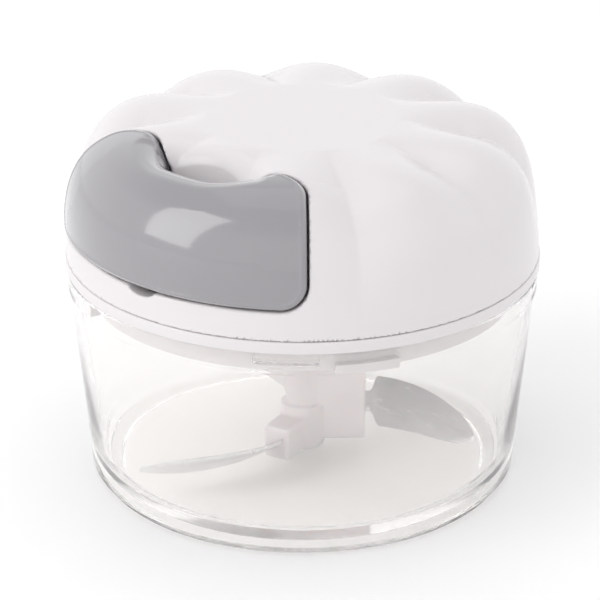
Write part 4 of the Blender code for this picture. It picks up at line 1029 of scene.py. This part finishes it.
def make_cord():
    """The run to the handle, the lead inside the lid and the winding on the spool."""
    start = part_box("cord_stopper")[1].y
    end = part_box("pull_cord")[1].y
    rings = 240
    route = [(0.0, start + (end - start) * ring / rings, CORD_GUIDE_HEIGHT) for ring in range(rings + 1)]
    run = tube("cord_run", route, CORD_RADIUS, FIBRE)
    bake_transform(run)
    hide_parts("pull_cord")
    low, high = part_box("cord_winding")
    middle = (low.z + high.z) / 2
    winding_radius = high.x - CORD_RADIUS
    entry = Vector((0.0, end + GAP, CORD_GUIDE_HEIGHT))
    swing = math.acos(winding_radius / -entry.y)
    touch = Vector((*at_bearing(winding_radius, math.degrees(swing)), middle + CORD_RADIUS))
    steps = 12
    inside = [entry + (touch - entry) * step / steps for step in range(steps + 1)]
    lead = tube("cord_inside", inside, CORD_RADIUS, FIBRE)
    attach(lead, "lid")
    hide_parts("cord_lead")
    steps = CORD_TURN_STEPS * CORD_TURNS
    turns = []
    for step in range(steps + 1):
        x, y = at_bearing(winding_radius, math.degrees(swing) + 360.0 * CORD_TURNS * step / steps)
        turns.append((x, y, middle + CORD_RADIUS - 2 * CORD_RADIUS * step / steps))
    wound = tube("cord_turns", turns, CORD_RADIUS * CORD_SQUEEZE, FIBRE)
    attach(wound, "spool")
    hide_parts("cord_winding")


# Spool, spring, ratchet and shaft


def make_spool():
    low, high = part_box("spool_washer")
    bottom = high.z + 2 * GAP
    groove_bottom = bottom + SPOOL_FLANGE
    groove_top = groove_bottom + SPOOL_GROOVE
    top = groove_top + SPOOL_FLANGE
    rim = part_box("spool")[1].x
    outline = [
        (SPOOL_BORE, bottom, 0.2 * MM),
        (rim, bottom, 0.4 * MM),
        (rim, groove_bottom, 0.5 * MM),
        (SPOOL_DRUM, groove_bottom, 0.4 * MM),
        (SPOOL_DRUM, groove_top, 0.4 * MM),
        (rim, groove_top, 0.5 * MM),
        (rim, top, 0.4 * MM),
        (SPOOL_CAVITY, top, 0.3 * MM),
        (SPOOL_CAVITY, groove_bottom, 0.6 * MM),
        (SPOOL_BORE, groove_bottom, 0.2 * MM),
    ]
    spool = lathe("cord_spool", outline, INNER, PIECE_STEPS)
    for number in (1, 2):
        low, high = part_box(f"pawl_{number}")
        pin = disc_outline(PAWL_PIN_RADIUS, PIN_STEPS, pawl_pin(number))
        shaped(spool, prism("pin", pin, low.z + GAP, bottom + SPOOL_FLANGE / 2, INNER), "UNION")
    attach(spool, "spool")
    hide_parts("spool")
    low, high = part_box("spring_cover")
    outline = ring_outline(SPOOL_BORE, high.x, low.z, high.z, (0.2, 0.2, 0.4, 0.3))
    cover = lathe("spring_lid", outline, INNER, PIECE_STEPS)
    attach(cover, "spool")
    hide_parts("spring_cover")


def pawl_pin(number):
    return at_bearing(PAWL_PIN_CIRCLE, PAWL_PIN_BEARING + 180.0 * (number - 1))


def make_spring():
    """A thin steel strip, coiled evenly from the arbor to the drum."""
    low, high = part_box("recoil_spring")
    half = SPRING_HALF
    section = ((-half, low.z), (half, low.z), (half, high.z), (-half, high.z))
    steps = int(SPRING_TURNS * SPRING_STEPS)
    vertices = []
    for step in range(steps + 1):
        share = step / steps
        radius = SPRING_START + (SPRING_END - SPRING_START) * share
        angle = math.tau * SPRING_TURNS * share
        for away, height in section:
            vertices.append(((radius + away) * math.cos(angle), (radius + away) * math.sin(angle), height))
    faces = end_caps(steps + 1, len(section)) + sleeve(steps + 1, len(section))
    spring = new_piece("mainspring", vertices, faces, SPRING_STEEL)
    outward(spring, sharp=30.0)
    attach(spring, "spool")
    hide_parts("recoil_spring")


def make_drive_shaft():
    low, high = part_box("drive_shaft")
    shaft_bottom = low.z + TONGUE_LENGTH
    disc_bottom = FLANGE_TOP + RUNNING_GAP
    disc_top = disc_bottom + RATCHET_PLATE
    rim = high.x
    outline = [
        (0.0, shaft_bottom, 0.0),
        (SHAFT_RADIUS, shaft_bottom, 0.5 * MM),
        (SHAFT_RADIUS, disc_bottom, 0.3 * MM),
        (rim, disc_bottom, 0.3 * MM),
        (rim, disc_top, 0.0),
        (0.0, disc_top, 0.0),
    ]
    drive = lathe("drive_spindle", outline, INNER, PIECE_STEPS)
    teeth = []
    for tooth in range(RATCHET_TEETH):
        bearing = 360.0 * tooth / RATCHET_TEETH
        teeth.append(at_bearing(RATCHET_TIP, bearing))
        for step in range(RAMP_STEPS):
            share = step / RAMP_STEPS
            radius = RATCHET_ROOT + (RATCHET_TIP - RATCHET_ROOT) * share
            teeth.append(at_bearing(radius, bearing + RATCHET_LEAN + 360.0 / RATCHET_TEETH * share))
    around = disc_outline(rim - RATCHET_INSET, PIECE_STEPS)
    ring = prism("ring", around, disc_top - RATCHET_SINK, high.z, INNER)
    shaped(ring, prism("teeth", teeth, disc_top, high.z + MM, INNER), "DIFFERENCE")
    shaped(drive, ring, "UNION")
    tongue = box_outline((-TONGUE_HALF, TONGUE_HALF), (-TONGUE_THIN, TONGUE_THIN))
    shaped(drive, prism("tongue", tongue, low.z, shaft_bottom + MM, INNER), "UNION")
    bevelled(drive, SHAFT_BEVEL)
    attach(drive, "drive")
    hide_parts("drive_shaft")


def make_screw(name, node):
    """A screw that points up, with a thread of rings and a cross slot."""
    low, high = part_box(node)
    x, y = (low.x + high.x) / 2, (low.y + high.y) / 2
    head = (high.z - low.z) - SCREW_LENGTH
    outline = [
        (0.0, 0.0, 0.0),
        (SCREW_HEAD_RADIUS, 0.0, min(SCREW_DOME, 0.6 * head)),
        (SCREW_HEAD_RADIUS, head, 0.1 * MM),
        (SCREW_RADIUS, head, 0.0),
    ]
    for turn in range(int((SCREW_LENGTH - MM) / SCREW_PITCH)):
        outline.append((SCREW_RADIUS, head + SCREW_PITCH * (turn + CREST_SHARE), 0.0))
        outline.append((SCREW_ROOT_RADIUS, head + SCREW_PITCH * (turn + ROOT_SHARE), 0.0))
    outline.append((0.0, head + SCREW_LENGTH, 0.0))
    screw = lathe(name, outline, SCREW_STEEL, SCREW_STEPS, sharp=30.0)
    half, reach = SCREW_SLOT_HALF, SCREW_SLOT_REACH
    for across, along in ((half, reach), (reach, half)):
        around = box_outline((-across, across), (-along, along))
        slot = prism("slot", around, -MM, SCREW_SLOT_SHARE * head, SCREW_STEEL)
        shaped(screw, slot, "DIFFERENCE", sharp=30.0)
    screw.data.transform(Matrix.Translation((x, y, low.z)))
    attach(screw, "lid")
    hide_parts(node)


def make_fasteners():
    for number in range(1, len(SCREW_BEARINGS) + 1):
        make_screw(f"cover_screw_{number}", f"base_screw_{number}")
    make_screw("arbor_screw", "spool_screw")
    low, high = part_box("spool_washer")
    outline = ring_outline(SCREW_RADIUS + GAP, high.x, low.z, high.z, (0.1, 0.15, 0.15, 0.1))
    washer = lathe("arbor_washer", outline, SCREW_STEEL, PIECE_STEPS)
    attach(washer, "lid")
    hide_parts("spool_washer")


def finish_pawls():
    """The pawls keep their CAD shape, with rounded edges."""
    for number in (1, 2):
        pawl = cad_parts[f"pawl_{number}"]
        pawl.data.materials.clear()
        pawl.data.materials.append(INNER)
        bevelled(pawl, PAWL_BEVEL)


# Rotor


def rotor_field(x, y, z):
    foot = BOWL_FLOOR + RUNNING_GAP
    column = both(upright(x, y, COLUMN_RADIUS), slab(z, foot + MM, CUP_BOTTOM + MM))
    low = foot + COLUMN_FOOT_HEIGHT
    base = both(upright(x, y, COLUMN_FOOT_RADIUS), slab(z, foot, low), SMALL_EDGE)
    column = either(column, base, SOFT_EDGE)
    for *_, bearing, fin_foot, fin_top, fin_reach in BLADES:
        angle = math.radians(bearing)
        along = x * math.sin(angle) - y * math.cos(angle)
        across = x * math.cos(angle) + y * math.sin(angle)
        fin = both(slab(across, -FIN_WIDTH / 2, FIN_WIDTH / 2), slab(along, 0.0, fin_reach), FIN_EDGE)
        fin = both(fin, slab(z, fin_foot, fin_top), HALF_EDGE)
        column = either(column, fin, SOFT_EDGE)
    cup = both(upright(x, y, CUP_RADIUS), slab(z, CUP_BOTTOM, CUP_TOP), CUP_EDGE)
    rotor = either(column, cup, CUP_JOIN)
    inner = CUP_RADIUS - CUP_WALL
    well = both(upright(x, y, inner), CUP_INNER_FLOOR - z, HALF_EDGE)
    rib = slab(x, -CUP_RIB_WIDTH / 2, CUP_RIB_WIDTH / 2)
    rib = both(rib, inner - CUP_RIB_REACH - np.abs(y), SMALL_EDGE)
    rib = both(rib, z - CUP_TOP + CUP_RIB_DROP, SMALL_EDGE)
    rotor = without(rotor, without(well, rib, CRISP_EDGE), CRISP_EDGE)
    socket = upright(x, y, PIVOT_RADIUS + RUNNING_GAP)
    socket = both(socket, z - BOWL_FLOOR - PIVOT_HEIGHT - RUNNING_GAP, SMALL_EDGE)
    return without(rotor, socket, CRISP_EDGE)


def make_blade(name, node, height, bearing):
    """A hooked, tilted plate with a ground edge."""
    tilt = math.tan(math.radians(BLADE_TILT))
    stations = [BLADE_TANG_START, BLADE_NECK - MM, BLADE_NECK, BLADE_NECK + MM]
    for step in range(1, BLADE_SHOULDER_STEPS + 1):
        stations.append(BLADE_NECK + MM + BLADE_SHOULDER * step / BLADE_SHOULDER_STEPS)
    widest = stations[-1]
    for step in range(1, BLADE_STEPS + 1):
        stations.append(widest + (BLADE_REACH - widest) * math.sin(math.pi / 2 * step / BLADE_STEPS))
    half_thick = BLADE_THICKNESS / 2
    back = BLADE_BACK_EDGE
    vertices = []
    for station in stations:
        sideways = -BLADE_SWEEP * max(station - BLADE_NECK + BLADE_SHOULDER, 0.0) ** 2
        share = max((station - BLADE_NECK - MM) / (BLADE_REACH - BLADE_NECK - MM), 0.0)
        full = BLADE_WIDTH * math.sqrt(max(1.0 - share**3, BLADE_TIP_SHARE))
        opened = min(max((station - BLADE_NECK - MM) / BLADE_SHOULDER, 0.0), 1.0)
        half_width = eased(BLADE_TANG_WIDTH, full - BLADE_TANG_WIDTH, opened) / 2
        edge = half_thick * (1.0 - BLADE_EDGE_GRIND * opened)
        bevel = half_width * BLADE_BEVEL_SHARE
        section = (
            (-half_width, -edge),
            (-half_width + bevel, -half_thick),
            (half_width - back, -half_thick),
            (half_width, -half_thick + back),
            (half_width, half_thick - back),
            (half_width - back, half_thick),
            (-half_width + bevel, half_thick),
            (-half_width, edge),
        )
        for across, lift in section:
            vertices.append((station, sideways + across, across * tilt + lift))
    faces = end_caps(len(stations), len(section)) + sleeve(len(stations), len(section))
    blade = new_piece(name, vertices, faces, BLADE_STEEL)
    blade.data.transform(Matrix.Rotation(math.radians(bearing - 90.0), 4, "Z"))
    blade.data.transform(Matrix.Translation((0.0, 0.0, height)))
    outward(blade, sharp=12.0)
    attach(blade, "rotor")
    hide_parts(node)


def make_rotor():
    reach = ROTOR_GRID_REACH
    low = (-reach, -reach, BOWL_FLOOR - MM)
    high = (reach, reach, CUP_TOP + MM)
    rotor = grown_surface("rotor_column", rotor_field, low, high, DETAIL_GRID, MILKY)
    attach(rotor, "rotor")
    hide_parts("blade_hub")
    for name, height, bearing, *_ in BLADES:
        make_blade(name.replace("blade", "knife"), name, height, bearing)


# Stage


def make_stage():
    made, _, shader = new_material("pale_floor")
    set_sockets(shader, Base_Color=(0.93, 0.93, 0.93, 1.0), Roughness=0.6, Specular_IOR_Level=0.2)
    half, level = 3.0, -0.05 * MM
    corners = [(x, y, level) for x, y in box_outline((-half, half), (-half, half))]
    floor = new_piece("floor", corners, [[0, 1, 2, 3]], made)


def aim(made, place, target):
    made.location = place
    made.rotation_euler = (Vector(target) - Vector(place)).to_track_quat("-Z", "Y").to_euler()


def softbox(name, place, target, width, height, power):
    """A rectangular lamp that can't be seen through the clear plastic."""
    lamp = bpy.data.lights.new(name, "AREA")
    lamp.shape = "RECTANGLE"
    lamp.size = width
    lamp.size_y = height
    lamp.energy = power
    made = bpy.data.objects.new(name, lamp)
    bpy.context.scene.collection.objects.link(made)
    made.visible_transmission = False
    aim(made, place, target)


def make_light():
    world = bpy.data.worlds.new("studio")
    world.use_nodes = True
    tree = world.node_tree
    place = tree.nodes.new("ShaderNodeTexCoord")
    split = tree.nodes.new("ShaderNodeSeparateXYZ")
    tree.links.new(place.outputs["Generated"], split.inputs["Vector"])
    height = add_node(tree, "ShaderNodeMapRange", From_Min=0.45, From_Max=0.8)
    height.interpolation_type = "SMOOTHSTEP"
    tree.links.new(split.outputs["Z"], height.inputs["Value"])
    low, high = (1.18, 1.18, 1.18), (0.86, 0.86, 0.87)
    sky = mixed_colour(tree, height.outputs["Result"], low, high)
    tree.links.new(sky, tree.nodes["Background"].inputs["Color"])
    set_sockets(tree.nodes["Background"], Strength=1.0)
    bpy.context.scene.world = world
    middle = (0.0, 0.0, 0.04)
    softbox("key", (-0.40, -0.87, 0.62), middle, width=0.52, height=0.95, power=3.6)
    softbox("top", (-0.15, 0.25, 1.2), middle, width=0.9, height=0.9, power=0.7)


def make_camera():
    azimuth = math.radians(40.5)
    elevation = math.radians(23.88)
    distance = 0.5485
    target = Vector((0.0, 0.0, 0.03417))
    away = Vector((
        math.sin(azimuth) * math.cos(elevation),
        -math.cos(azimuth) * math.cos(elevation),
        math.sin(elevation),
    ))
    camera = bpy.data.cameras.new("camera")
    camera.lens = 168.0
    camera.sensor_width = 36.0
    camera.shift_x = -0.0044
    made = bpy.data.objects.new("camera", camera)
    bpy.context.scene.collection.objects.link(made)
    aim(made, target + away * distance, target)
    bpy.context.scene.camera = made
    bpy.context.scene.view_settings.view_transform = "Standard"


make_camera()
make_light()
make_stage()
make_bowl()
make_lid_cover()
make_lid_base()
make_seals()
make_handle()
make_cord_fittings()
make_cord()
make_spool()
make_spring()
make_drive_shaft()
make_fasteners()
finish_pawls()
make_rotor()
